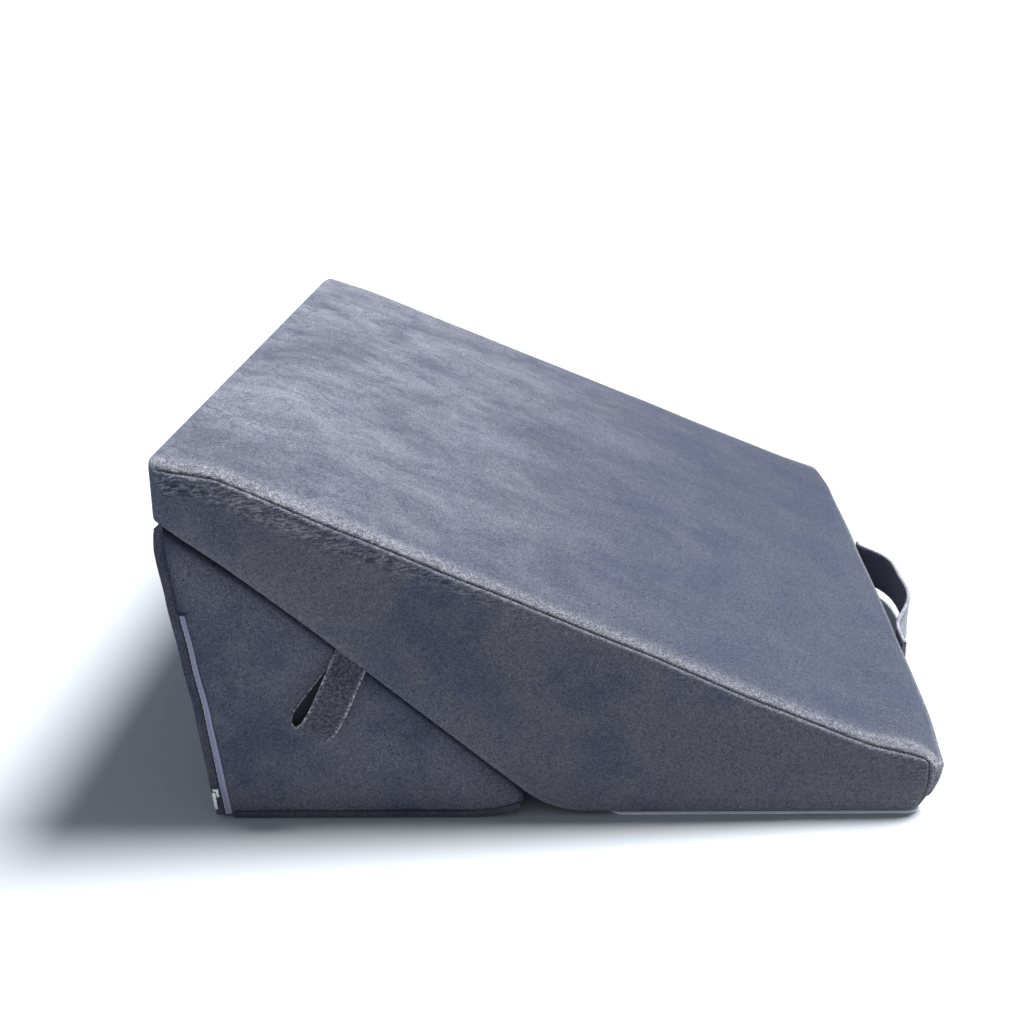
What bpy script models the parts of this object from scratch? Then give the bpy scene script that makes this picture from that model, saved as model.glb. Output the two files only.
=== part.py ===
"""A folding wedge pillow: a sloping foam cushion whose high end is propped on a support wedge.

Metres, +Z up, standing on Z = 0. X runs from the high end to the low end. The side with the
zip and the short loop faces -Y. Every piece is drawn in sewing coordinates, with X measured
from the high end and Y from the middle of its width. Its object is then moved so that the
whole outline, straps included, is centred on the origin.
"""

import math

import bmesh
import bpy
from mathutils import Vector

# Whole pillow
WIDTH = 0.610
MIDDLE_X = 0.3010
MIDDLE_Y = -0.0037
GAP = 0.0004

# Upper cushion
HIGH_END = -0.004
HIGH_TOP = 0.314
LOW_TOP = 0.056
SEAM_LENGTH = 0.565
UNDERSIDE_TOP = 0.2675
UNDERSIDE_SLOPE = 0.961
FOLD_RADIUS = 0.070
LOW_LIFT = 0.012
LOW_LIFT_START = 0.556
LOW_LIFT_RUN = 0.027
TOP_CROWN = 0.006
FAR_RISE_SHARE = 0.35
SIDE_CROWN = 0.006
SIDE_RADIUS = 0.009
TOP_RADIUS = 0.009
BOTTOM_RADIUS = 0.005
HIGH_END_RADIUS = 0.005
LOW_END_RADIUS = 0.015

# How far the near top seam lies above a straight line, at distances from the high end
SEAM_RISE = (
    # (distance, rise)
    (0.000, 0.000),
    (0.050, 0.010),
    (0.140, 0.006),
    (0.230, 0.003),
    (0.340, 0.000),
    (0.440, -0.005),
    (0.515, -0.006),
    (0.565, 0.000),
)

# How far the low end reaches past the seam length, at places across the pillow
LOW_END_REACH = (
    # (y, reach)
    (-0.305, 0.014),
    (-0.215, 0.020),
    (-0.060, 0.018),
    (0.115, 0.013),
    (0.255, 0.008),
    (0.305, 0.002),
)

# Base panel under the low half
BASE_THICKNESS = 0.003
BASE_START = 0.320
BASE_END = 0.563
BASE_HALF_WIDTH = 0.3045
BASE_CORNER = 0.012

# Lower wedge
WEDGE_WIDTH = 0.606
WEDGE_TIP_X = 0.252
WEDGE_CROWN = 0.003
WEDGE_EDGE = 0.006
TIP_LIFT = 0.008
LIFT_START = 0.205

# How far the wedge's back leans out past X = 0, at heights above the floor
WEDGE_BACK = (
    # (height, reach)
    (0.000, 0.001),
    (0.040, 0.002),
    (0.100, 0.003),
    (0.150, 0.006),
    (0.200, 0.009),
    (0.240, 0.011),
    (0.265, 0.008),
)

# Bound seam along the wedge's bottom edges
BINDING_HEIGHT = 0.006
BINDING_THICKNESS = 0.0018
BINDING_START = 0.014

# Cloth hinge between the wedge's tip and the cushion
HINGE_THICKNESS = 0.0016
HINGE_HALF_WIDTH = 0.292
HINGE_START = 0.2528
HINGE_END = 0.2650
HINGE_SAG = 0.0009

# Zip down the wedge's near back corner
FACING_WIDTH = 0.0075
FACING_THICKNESS = 0.0022
FACING_TOP = 0.258
FACING_FOOT = 0.004
TAPE_WIDTH = 0.0055
TAPE_THICKNESS = 0.0010
TAPE_TOP = 0.187
COIL_WIDTH = 0.0016
COIL_THICKNESS = 0.0010
SLIDER_SIZE = (0.0050, 0.0024, 0.0080)
SLIDER_HEIGHT = 0.027
PULL_SIZE = (0.0030, 0.0010, 0.0160)
ZIP_STEPS = 14

# Short loop on the near side
LOOP_WIDTH = 0.028
LOOP_THICKNESS = 0.0018
LOOP_TOP = (0.1263, 0.1419)
LOOP_DOWN = (-0.458, -0.889)
LOOP_ROUTE = (
    # (down, out, sideways), along the strap's middle from its back end round to its front end
    (0.000, 0.0010, 0.0000),
    (0.016, 0.0010, -0.0025),
    (0.034, 0.0010, -0.0065),
    (0.050, 0.0011, -0.0100),
    (0.058, 0.0017, -0.0112),
    (0.0625, 0.0036, -0.0104),
    (0.0645, 0.0062, -0.0086),
    (0.0635, 0.0088, -0.0062),
    (0.0590, 0.0106, -0.0034),
    (0.049, 0.0110, -0.0010),
    (0.034, 0.0098, 0.0000),
    (0.018, 0.0072, 0.0000),
    (0.006, 0.0050, 0.0000),
    (0.000, 0.0040, 0.0000),
)

# Carrying strap on the low end
HANDLE_MIDDLE_Y = 0.018
HANDLE_HALF_SPAN = 0.106
HANDLE_FOOT = 0.024
HANDLE_WIDTH = 0.036
HANDLE_HEIGHT = 0.0270
HANDLE_THICKNESS = 0.0030
HANDLE_BOW = 0.0255
HANDLE_STEPS = 22

# Share of a rounded edge's radius at which its arc has turned half way
HALF_TURN = math.tan(math.pi / 8)


def clear_scene():
    for obj in list(bpy.data.objects):
        bpy.data.objects.remove(obj)


def material(name, colour, roughness, metallic=0.0, sheen=0.0):
    made = bpy.data.materials.new(name)
    made.use_nodes = True
    shader = made.node_tree.nodes["Principled BSDF"]
    shader.inputs["Base Color"].default_value = (*colour, 1.0)
    shader.inputs["Roughness"].default_value = roughness
    shader.inputs["Metallic"].default_value = metallic
    shader.inputs["Sheen Weight"].default_value = sheen
    made.diffuse_color = (*colour, 1.0)
    return made


def add_object(name, mesh, finish):
    """Makes an object from a closed bmesh in sewing coordinates."""
    bmesh.ops.recalc_face_normals(mesh, faces=mesh.faces)
    data = bpy.data.meshes.new(name)
    mesh.to_mesh(data)
    mesh.free()
    data.materials.append(finish)
    data.shade_smooth()
    data.set_sharp_from_angle(angle=math.radians(40))
    obj = bpy.data.objects.new(name, data)
    obj.location = (-MIDDLE_X, -MIDDLE_Y, 0.0)
    bpy.context.scene.collection.objects.link(obj)
    return obj


def curve_value(table, place):
    """Reads a smooth curve through a table of (place, value) rows."""
    if place <= table[0][0]:
        return table[0][1]
    for (start, first), (end, last) in zip(table, table[1:]):
        if place <= end:
            share = (place - start) / (end - start)
            return first + (last - first) * share * share * (3 - 2 * share)
    return table[-1][1]


def hump(share):
    """1 in the middle of 0 to 1 and 0 at both ends."""
    return 4 * share * (1 - share)


def clamp(value, low=0.0, high=1.0):
    return min(max(value, low), high)


def stations(low, high, knots, counts):
    """Places along one side of a box: three lines through each rounded edge, and even ones
    between the knots, which run from one end of the box to the other."""
    start, end = knots[0], knots[-1]
    stops = [start + low, *knots[1:-1], end - high]
    places = [start, start + low * (1 - HALF_TURN), start + low]
    for first, last, count in zip(stops, stops[1:], counts):
        places += [first + (last - first) * n / count for n in range(1, count + 1)]
    return places + [end - high * (1 - HALF_TURN), end]


def round_off(spans):
    """Moves a point of a box's surface onto its rounded edges. A span is the point's
    (place, low side, high side, low radius, high radius) along one axis."""
    inner = []
    past = []
    radii = []
    for place, low, high, low_radius, high_radius in spans:
        inside = clamp(place, low + low_radius, high - high_radius)
        radius = low_radius if place < inside else high_radius
        inner.append(inside)
        radii.append(radius)
        past.append((place - inside) / radius)
    length = max(math.sqrt(sum(share * share for share in past)), 1.0)
    return [a + share / length * radius for a, share, radius in zip(inner, past, radii)]


def box_lattice(name, counts, place, finish):
    """A closed solid from the six faces of a box lattice whose points place(i, j, k) gives."""
    mesh = bmesh.new()
    points = {}

    def point(index):
        if index not in points:
            points[index] = mesh.verts.new(place(*index))
        return points[index]

    for axis in range(3):
        first, second = [other for other in range(3) if other != axis]
        for side in (0, counts[axis]):
            for i in range(counts[first]):
                for j in range(counts[second]):
                    corners = []
                    for di, dj in ((0, 0), (1, 0), (1, 1), (0, 1)):
                        index = [0, 0, 0]
                        index[axis] = side
                        index[first] = i + di
                        index[second] = j + dj
                        corners.append(point(tuple(index)))
                    mesh.faces.new(corners)
    return add_object(name, mesh, finish)


def sweep(name, sections, finish):
    """A closed solid through a list of sections, each a list of points in the same order."""
    mesh = bmesh.new()
    rings = [[mesh.verts.new(point) for point in section] for section in sections]
    sides = len(rings[0])
    for ring, following in zip(rings, rings[1:]):
        for n in range(sides):
            after = (n + 1) % sides
            mesh.faces.new((ring[n], ring[after], following[after], following[n]))
    mesh.faces.new(rings[0])
    mesh.faces.new(rings[-1])
    return add_object(name, mesh, finish)


# Upper cushion


def underside_line(x):
    """Height of the slanted plane where the cushion lies on the wedge."""
    return UNDERSIDE_TOP - UNDERSIDE_SLOPE * x


def cushion_bottom(x):
    """Underside of the cushion: the slanted plane, a rounded fold corner, the flat base, and
    the turn up into the low end."""
    base = BASE_THICKNESS + GAP
    if x > LOW_LIFT_START:
        return base + LOW_LIFT * ((x - LOW_LIFT_START) / LOW_LIFT_RUN) ** 2
    slant = math.atan(UNDERSIDE_SLOPE)
    corner = (UNDERSIDE_TOP - base) / UNDERSIDE_SLOPE
    middle = corner + FOLD_RADIUS * math.tan(slant / 2)
    if x >= middle:
        return base
    if x > middle - FOLD_RADIUS * math.sin(slant):
        return base + FOLD_RADIUS - math.sqrt(FOLD_RADIUS**2 - (middle - x) ** 2)
    return underside_line(x)


def cushion_top(x, y):
    """Top panel: a straight slope with a low crown, and the near seam's rise fading across."""
    straight = HIGH_TOP + (LOW_TOP - HIGH_TOP) * x / SEAM_LENGTH
    nearness = clamp(0.5 - y / WIDTH)
    rise = (FAR_RISE_SHARE + (1 - FAR_RISE_SHARE) * nearness) * curve_value(SEAM_RISE, x)
    crown = TOP_CROWN * hump(clamp(x / SEAM_LENGTH)) * hump(clamp(0.5 + y / WIDTH))
    return straight + rise + crown


def cushion_end(y):
    return SEAM_LENGTH + curve_value(LOW_END_REACH, y)


def make_upper_cushion(finish):
    half = WIDTH / 2
    fold = (UNDERSIDE_TOP - BASE_THICKNESS) / UNDERSIDE_SLOPE
    ribs = stations(SIDE_RADIUS, SIDE_RADIUS, (-half, half), (14,))

    def place(i, j, k):
        y = ribs[k]
        end = cushion_end(y)
        knots = (HIGH_END, fold - FOLD_RADIUS / 2, fold + FOLD_RADIUS / 2, end)
        x = stations(HIGH_END_RADIUS, LOW_END_RADIUS, knots, (8, 4, 8))[i]
        low, high = cushion_bottom(x), cushion_top(x, y)
        z = stations(BOTTOM_RADIUS, TOP_RADIUS, (low, high), (5,))[j]
        share = (z - low) / (high - low)
        x, y, z = round_off(
            (
                (x, HIGH_END, end, HIGH_END_RADIUS, LOW_END_RADIUS),
                (y, -half, half, SIDE_RADIUS, SIDE_RADIUS),
                (z, low, high, BOTTOM_RADIUS, TOP_RADIUS),
            )
        )
        outward = (y / half) ** 15 * hump(clamp(x / end)) ** 0.4
        return x, y + SIDE_CROWN * outward * hump(share), z

    return box_lattice("upper_cushion", (24, 9, 18), place, finish)


def make_base_panel(finish):
    """The flat panel under the low half, with round corners and rounded rims."""
    middle_x = (BASE_START + BASE_END) / 2
    half_x = (BASE_END - BASE_START) / 2
    outline = []
    for turn, side_x, side_y in ((0, 1, 1), (1, -1, 1), (2, -1, -1), (3, 1, -1)):
        for n in range(5):
            angle = (turn + n / 4) * math.pi / 2
            corner_x = middle_x + side_x * (half_x - BASE_CORNER)
            corner_y = side_y * (BASE_HALF_WIDTH - BASE_CORNER)
            outline.append((corner_x, corner_y, angle))
    rim = BASE_THICKNESS / 2
    sections = []
    for inset, height in ((rim, 0.0), (0.0, rim), (rim, BASE_THICKNESS)):
        reach = BASE_CORNER - inset
        sections.append(
            [
                (x + reach * math.cos(angle), y + reach * math.sin(angle), height)
                for x, y, angle in outline
            ]
        )
    return sweep("base_panel", sections, finish)


# Lower wedge


def wedge_bottom(x):
    share = clamp((x - LIFT_START) / (WEDGE_TIP_X - LIFT_START))
    return TIP_LIFT * share * share


def wedge_top(x):
    """The wedge's slanted face, a hair under the cushion's."""
    return underside_line(max(x, 0.0)) - 1.5 * GAP


def wedge_side(x, z):
    """How far the wedge's side panel lies from the middle of the pillow."""
    low, high = wedge_bottom(x), wedge_top(x)
    along = clamp((x + 0.01) / (WEDGE_TIP_X + 0.01))
    return WEDGE_WIDTH / 2 + WEDGE_CROWN * hump(clamp((z - low) / (high - low))) * hump(along) ** 0.5


def make_lower_wedge(finish):
    half = WEDGE_WIDTH / 2
    ribs = stations(WEDGE_EDGE, WEDGE_EDGE, (-half, half), (8,))
    columns = stations(WEDGE_EDGE, WEDGE_EDGE, (0.0, LIFT_START, WEDGE_TIP_X), (8, 3))
    edge = WEDGE_EDGE * 0.8

    def place(i, j, k):
        x, y = columns[i], ribs[k]
        low, high = wedge_bottom(x), wedge_top(x)
        z = stations(edge, edge, (low, high), (7,))[j]
        x, y, z = round_off(
            (
                (x, 0.0, WEDGE_TIP_X, WEDGE_EDGE, WEDGE_EDGE),
                (y, -half, half, WEDGE_EDGE, WEDGE_EDGE),
                (z, low, high, edge, edge),
            )
        )
        crown = (wedge_side(x, z) - half) * (y / half) ** 15
        lean = curve_value(WEDGE_BACK, z) * (1 - x / WEDGE_TIP_X) ** 6
        return x - lean, y + crown, z

    return box_lattice("lower_wedge", (15, 11, 12), place, finish)


def make_binding(name, side, finish):
    """A flat bound seam that follows one bottom edge of the wedge and turns up at its tip."""
    steps = 16
    start, end = BINDING_START, WEDGE_TIP_X - 0.002
    sections = []
    for n in range(steps + 1):
        x = start + (end - start) * n / steps
        foot = wedge_bottom(x) + GAP
        head = foot + BINDING_HEIGHT
        inner = max(wedge_side(x, foot), wedge_side(x, head)) + GAP
        outer = inner + BINDING_THICKNESS
        middle = (foot + head) / 2
        belly = outer + BINDING_THICKNESS * 0.25
        ring = ((inner, foot), (outer, foot), (belly, middle), (outer, head), (inner, head))
        sections.append([(x, side * y, z) for y, z in ring])
    return sweep(name, sections, finish)


def make_hinge(finish):
    """The strip of cloth that joins the wedge's tip to the cushion's fold corner."""
    steps = 4
    start_height = (wedge_bottom(WEDGE_TIP_X) + wedge_top(WEDGE_TIP_X)) / 2
    end_height = cushion_bottom(HINGE_END) - GAP - HINGE_THICKNESS
    sections = []
    for n in range(steps + 1):
        share = n / steps
        x = HINGE_START + (HINGE_END - HINGE_START) * share
        straight = start_height + (end_height - start_height) * share
        z = straight - HINGE_SAG * hump(share)
        half = HINGE_HALF_WIDTH
        top = z + HINGE_THICKNESS
        sections.append([(x, -half, z), (x, half, z), (x, half, top), (x, -half, top)])
    return sweep("hinge_strip", sections, finish)


# Zip


def zip_edge(z):
    """X of the line where the back panel's fold ends and the zip tape starts."""
    return FACING_WIDTH - curve_value(WEDGE_BACK, z)


def upright_strip(name, finish, foot, head, left, width, base, thickness):
    """A thin strip up the near face, from left(z) across its width, base above the cloth."""
    sections = []
    for n in range(ZIP_STEPS + 1):
        z = foot + (head - foot) * n / ZIP_STEPS
        start = left(z)
        end = start + width
        face = max(wedge_side(start, z), wedge_side(end, z)) + base
        outer = face + thickness
        inset = min(thickness, width / 2) * 0.5
        ring = (
            (start, face),
            (end, face),
            (end, face + thickness / 2),
            (end - inset, outer),
            (start + inset, outer),
            (start, face + thickness / 2),
        )
        sections.append([(x, -y, z) for x, y in ring])
    return sweep(name, sections, finish)


def make_zip(facing, tape, coil):
    upright_strip(
        "zip_facing",
        facing,
        FACING_FOOT,
        FACING_TOP,
        lambda z: zip_edge(z) - FACING_WIDTH,
        FACING_WIDTH,
        GAP,
        FACING_THICKNESS,
    )
    upright_strip(
        "zip_tape",
        tape,
        FACING_FOOT,
        TAPE_TOP,
        lambda z: zip_edge(z) + GAP,
        TAPE_WIDTH,
        GAP,
        TAPE_THICKNESS,
    )
    upright_strip(
        "zip_coil",
        coil,
        FACING_FOOT + 0.002,
        TAPE_TOP - 0.002,
        lambda z: zip_edge(z) + 0.0012,
        COIL_WIDTH,
        2 * GAP + TAPE_THICKNESS,
        COIL_THICKNESS,
    )


def make_block(name, size, centre, bevel, finish):
    """A small block with bevelled edges."""
    mesh = bmesh.new()
    bmesh.ops.create_cube(mesh, size=1.0)
    bmesh.ops.scale(mesh, vec=size, verts=mesh.verts)
    bmesh.ops.translate(mesh, vec=centre, verts=mesh.verts)
    bmesh.ops.bevel(
        mesh, geom=mesh.edges, offset=bevel, segments=1, profile=0.5, affect="EDGES"
    )
    return add_object(name, mesh, finish)


def make_slider(metal):
    """The slider near the foot of the zip, with its pull hanging over the folded facing."""
    x = zip_edge(SLIDER_HEIGHT) - SLIDER_SIZE[0] / 2
    face = wedge_side(x, SLIDER_HEIGHT) + 2 * GAP + FACING_THICKNESS
    y = -(face + SLIDER_SIZE[1] / 2)
    make_block("zip_slider", SLIDER_SIZE, (x, y, SLIDER_HEIGHT), 0.0006, metal)
    pull_x = x - 0.0012
    pull_y = y - SLIDER_SIZE[1] / 2 - GAP - PULL_SIZE[1] / 2
    pull_z = SLIDER_HEIGHT - PULL_SIZE[2] / 2 + 0.0015
    make_block("zip_pull", PULL_SIZE, (pull_x, pull_y, pull_z), 0.0003, metal)


# Straps


def make_side_loop(finish):
    """A strap folded in two, sewn into the seam between cushion and wedge."""
    down = Vector((LOOP_DOWN[0], 0.0, LOOP_DOWN[1])).normalized()
    across = Vector((-down.z, 0.0, down.x))
    out = Vector((0.0, -1.0, 0.0))
    side = across * (LOOP_WIDTH / 2)
    middles = []
    for reach, lift, sideways in LOOP_ROUTE:
        flat = Vector((LOOP_TOP[0], 0.0, LOOP_TOP[1])) + down * reach + across * sideways
        face = max(wedge_side(place.x, place.z) for place in (flat - side, flat, flat + side))
        middles.append(flat + out * (face + GAP + lift))
    sections = []
    for n, middle in enumerate(middles):
        before = middles[max(n - 1, 0)]
        after = middles[min(n + 1, len(middles) - 1)]
        forward = (after - before).normalized()
        normal = across.cross(forward).normalized() * (LOOP_THICKNESS / 2)
        sections.append(
            [
                middle - side - normal,
                middle + side - normal,
                middle + side + normal,
                middle - side + normal,
            ]
        )
    return sweep("side_loop", sections, finish)


def handle_bow(y):
    """How far the carrying strap stands off the end panel."""
    share = clamp(abs(y - HANDLE_MIDDLE_Y) / HANDLE_HALF_SPAN)
    return HANDLE_BOW * (1 - share**2.5) ** 2


def make_end_handle(finish):
    """A flat strap sewn down at both ends, which bows out between them."""
    reach = HANDLE_HALF_SPAN + HANDLE_FOOT
    low = HANDLE_HEIGHT - HANDLE_WIDTH / 2
    high = HANDLE_HEIGHT + HANDLE_WIDTH / 2
    rim = HANDLE_THICKNESS * 0.3
    sections = []
    for n in range(HANDLE_STEPS + 1):
        y = HANDLE_MIDDLE_Y - reach + 2 * reach * n / HANDLE_STEPS
        inner = cushion_end(y) + GAP + handle_bow(y)
        outer = inner + HANDLE_THICKNESS
        middle = (inner + outer) / 2
        ring = (
            (inner, low + rim),
            (middle, low),
            (outer, low + rim),
            (outer, high - rim),
            (middle, high),
            (inner, high - rim),
        )
        sections.append([(x, y, z) for x, z in ring])
    return sweep("end_handle", sections, finish)


def main():
    clear_scene()
    velvet = material("blue_grey_velvet", (0.17, 0.19, 0.27), 0.85, sheen=0.6)
    dark_velvet = material("dark_velvet", (0.08, 0.09, 0.13), 0.9, sheen=0.4)
    pale_cloth = material("pale_base_cloth", (0.42, 0.43, 0.48), 0.9)
    webbing = material("woven_strap", (0.12, 0.13, 0.17), 0.8)
    tape = material("zip_tape_cloth", (0.40, 0.40, 0.52), 0.75)
    coil = material("zip_coil_nylon", (0.30, 0.31, 0.40), 0.45)
    metal = material("zip_metal", (0.75, 0.76, 0.78), 0.3, metallic=1.0)

    make_upper_cushion(velvet)
    make_base_panel(pale_cloth)
    make_lower_wedge(velvet)
    make_binding("wedge_binding_near", -1, dark_velvet)
    make_binding("wedge_binding_far", 1, dark_velvet)
    make_hinge(dark_velvet)
    make_zip(dark_velvet, tape, coil)
    make_slider(metal)
    make_side_loop(webbing)
    make_end_handle(webbing)


main()
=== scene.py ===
# %% [markdown]
# A folding wedge pillow, dressed for its picture. The real thing is two blocks of foam in one
# plush cover: a long sloping cushion, and a right-angled wedge folded under its high end. The
# solids of both blocks are already made, so this script only dresses them: it sews a finer cover
# over each block, adds the seams, straps and zip, and gives every cloth its pile or weave.

# %% Load the solids and keep their box
import math

import bmesh
import bpy
import numpy as np
from mathutils import Matrix, Vector


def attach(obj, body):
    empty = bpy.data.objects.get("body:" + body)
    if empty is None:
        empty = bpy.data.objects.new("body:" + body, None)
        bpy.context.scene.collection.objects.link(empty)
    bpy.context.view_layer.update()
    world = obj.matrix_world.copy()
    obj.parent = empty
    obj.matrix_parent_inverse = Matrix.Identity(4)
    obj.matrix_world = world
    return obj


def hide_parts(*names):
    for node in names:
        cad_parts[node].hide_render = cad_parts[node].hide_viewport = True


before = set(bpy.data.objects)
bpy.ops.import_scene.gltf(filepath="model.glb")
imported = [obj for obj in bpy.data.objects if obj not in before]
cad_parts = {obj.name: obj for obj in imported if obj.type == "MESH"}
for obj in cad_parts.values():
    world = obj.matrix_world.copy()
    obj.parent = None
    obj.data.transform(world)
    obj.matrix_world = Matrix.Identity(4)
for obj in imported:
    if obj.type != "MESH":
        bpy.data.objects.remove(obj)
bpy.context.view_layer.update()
scene = bpy.context.scene

# %% [markdown]
# Sewing is easiest in the coordinates of the pattern: X from the high end of the pillow, Y from
# the middle of its width, Z from the bed. The solids are centred on the origin instead, straps
# included, so one offset takes a pattern point to its place.

# %% Sizes of the pattern
WIDTH = 0.610
HALF = WIDTH / 2
OFFSET = np.array((-0.3010, 0.0037, 0.0))
HIGH_END = -0.004
HIGH_TOP = 0.314
LOW_TOP = 0.056
SEAM_LENGTH = 0.565
UNDERSIDE_TOP = 0.2675
UNDERSIDE_SLOPE = 0.961
BASE_THICKNESS = 0.003
GAP = 0.0004


def table_curve(rows):
    """A smooth curve through (place, value) rows, for numbers or arrays."""
    places = np.array([row[0] for row in rows])
    values = np.array([row[1] for row in rows])

    def read(place):
        place = np.clip(place, places[0], places[-1])
        index = np.clip(np.searchsorted(places, place, side="right") - 1, 0, len(places) - 2)
        share = (place - places[index]) / (places[index + 1] - places[index])
        ease = share * share * (3 - 2 * share)
        return values[index] + (values[index + 1] - values[index]) * ease

    return read


def hump(share):
    """1 in the middle of 0 to 1 and 0 at both ends."""
    share = np.clip(share, 0.0, 1.0)
    return 4 * share * (1 - share)


def smooth(low, high, value):
    """0 below low, 1 above high, and an even turn between."""
    share = np.clip((value - low) / (high - low), 0.0, 1.0)
    return share * share * (3 - 2 * share)


# %% [markdown]
# The photograph was taken from close by, a little above the near long side. A camera fitted to
# the straight edges of the pillow gives its place, its turn and its lens.

# %% Camera
CAMERA_PLACE = np.array((0.3542, -HALF - 0.8345, 0.6159)) + OFFSET
CAMERA_TURN = math.radians(-6.39)
CAMERA_DIP = math.radians(22.67)
CAMERA_ROLL = math.radians(-4.19)
CAMERA_LENS = 44.43


def make_camera():
    ahead = Vector(
        (
            math.sin(CAMERA_TURN) * math.cos(CAMERA_DIP),
            math.cos(CAMERA_TURN) * math.cos(CAMERA_DIP),
            -math.sin(CAMERA_DIP),
        )
    )
    level = Vector((math.cos(CAMERA_TURN), -math.sin(CAMERA_TURN), 0.0))
    above = level.cross(ahead)
    right = level * math.cos(CAMERA_ROLL) + above * math.sin(CAMERA_ROLL)
    up = above * math.cos(CAMERA_ROLL) - level * math.sin(CAMERA_ROLL)
    camera = bpy.data.objects.new("camera", bpy.data.cameras.new("camera"))
    camera.data.lens = CAMERA_LENS
    camera.data.sensor_width = 36.0
    camera.data.clip_start = 0.01
    turn = Matrix((right, up, -ahead)).transposed().to_4x4()
    camera.matrix_world = Matrix.Translation(Vector(CAMERA_PLACE)) @ turn
    scene.collection.objects.link(camera)
    scene.camera = camera


make_camera()

# %% [markdown]
# The photograph is lit by one broad soft light, high on the right and a little behind, under an
# even white sky. It pales the top panel and the low end, leaves the near side in half shade and
# throws a soft shadow to the left. A sun lamp with a wide angle does this evenly over the floor.

# %% Floor, sky and light
FLOOR_RINGS = (0.0, 4.0, 12.0, 24.0, 36.0, 48.0, 60.0)
SUN_FROM = (0.60, 0.20, 1.0)
scene.view_settings.view_transform = "Standard"


def make_floor():
    """A wide floor that turns up towards its rim, like a paper sweep, so no horizon shows."""
    mesh = bmesh.new()
    turns = np.linspace(0.0, 2 * math.pi, 64, endpoint=False)
    middle = mesh.verts.new((0.0, 0.0, 0.0))
    inner = None
    for reach in FLOOR_RINGS[1:]:
        height = 6.0 * max(reach - 12.0, 0.0) ** 2 / 48.0**2
        ring = [mesh.verts.new((reach * math.cos(a), reach * math.sin(a), height)) for a in turns]
        for n, point in enumerate(ring):
            after = ring[(n + 1) % len(ring)]
            if inner is None:
                mesh.faces.new((middle, point, after))
            else:
                mesh.faces.new((inner[n], point, after, inner[(n + 1) % len(ring)]))
        inner = ring
    data = bpy.data.meshes.new("floor")
    mesh.to_mesh(data)
    mesh.free()
    data.shade_smooth()
    paint = bpy.data.materials.new("pale_floor")
    paint.use_nodes = True
    shader = paint.node_tree.nodes["Principled BSDF"]
    shader.inputs["Base Color"].default_value = (0.40, 0.425, 0.46, 1.0)
    shader.inputs["Roughness"].default_value = 0.9
    shader.inputs["Specular IOR Level"].default_value = 0.1
    data.materials.append(paint)
    floor = bpy.data.objects.new("floor", data)
    floor.location.z = -0.0002
    scene.collection.objects.link(floor)


def make_sky(strength):
    world = bpy.data.worlds.new("studio")
    world.use_nodes = True
    sky = world.node_tree.nodes["Background"]
    sky.inputs["Color"].default_value = (0.84, 0.92, 1.0, 1.0)
    sky.inputs["Strength"].default_value = strength
    scene.world = world


def make_sun(name, source, strength, spread, colour):
    lamp = bpy.data.lights.new(name, "SUN")
    lamp.energy = strength
    lamp.angle = math.radians(spread)
    lamp.color = colour
    light = bpy.data.objects.new(name, lamp)
    light.rotation_euler = (-Vector(source)).to_track_quat("-Z", "Y").to_euler()
    scene.collection.objects.link(light)


make_floor()
make_sky(0.37)
make_sun("broad_light", SUN_FROM, 9.8, 20.0, (1.0, 0.985, 0.96))

# %% [markdown]
# All the cloths here are built from node trees. A small helper adds a node, sets its options and
# joins its inputs in one call, which keeps each recipe short enough to read.

# %% Node helpers


def add_node(tree, kind, settings=None, **inputs):
    """Adds a node. An input is a value, or a socket that is joined to it."""
    node = tree.nodes.new(kind)
    for name, value in (settings or {}).items():
        setattr(node, name, value)
    for name, value in inputs.items():
        key = int(name[1:]) if name[1:].isdigit() and name[0] == "i" else name.replace("_", " ")
        socket = node.inputs[key]
        if isinstance(value, bpy.types.NodeSocket):
            tree.links.new(value, socket)
        else:
            socket.default_value = value
    return node


def arithmetic(tree, operation, first, second=0.0):
    return add_node(tree, "ShaderNodeMath", {"operation": operation}, i0=first, i1=second).outputs[0]


def mix_colours(tree, factor, first, second, blend="MIX"):
    node = tree.nodes.new("ShaderNodeMix")
    node.data_type = "RGBA"
    node.blend_type = blend
    for key, value in ((0, factor), (6, first), (7, second)):
        if isinstance(value, bpy.types.NodeSocket):
            tree.links.new(value, node.inputs[key])
        else:
            node.inputs[key].default_value = value
    return node.outputs[2]


def ramp(tree, value, stops):
    """A grey ramp through (place, brightness) stops."""
    node = add_node(tree, "ShaderNodeValToRGB", Fac=value)
    band = node.color_ramp
    while len(band.elements) < len(stops):
        band.elements.new(0.5)
    for element, (place, grey) in zip(band.elements, stops):
        element.position = place
        element.color = (grey, grey, grey, 1.0)
    return node.outputs[0]


def new_group(name, inputs, outputs):
    """A shader node group with number inputs given by their defaults."""
    group = bpy.data.node_groups.new(name, "ShaderNodeTree")
    for label, (kind, default) in inputs.items():
        socket = group.interface.new_socket(label, in_out="INPUT", socket_type=kind)
        if default is not None:
            socket.default_value = default
    for label, kind in outputs.items():
        group.interface.new_socket(label, in_out="OUTPUT", socket_type=kind)
    start = group.nodes.new("NodeGroupInput")
    end = group.nodes.new("NodeGroupOutput")
    return group, start, end


def place_group(tree, group, **inputs):
    node = tree.nodes.new("ShaderNodeGroup")
    node.node_tree = group
    for name, value in inputs.items():
        socket = node.inputs[name.replace("_", " ")]
        if isinstance(value, bpy.types.NodeSocket):
            tree.links.new(value, socket)
        else:
            socket.default_value = value
    return node


NUMBER = "NodeSocketFloat"
VECTOR = "NodeSocketVector"

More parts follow.
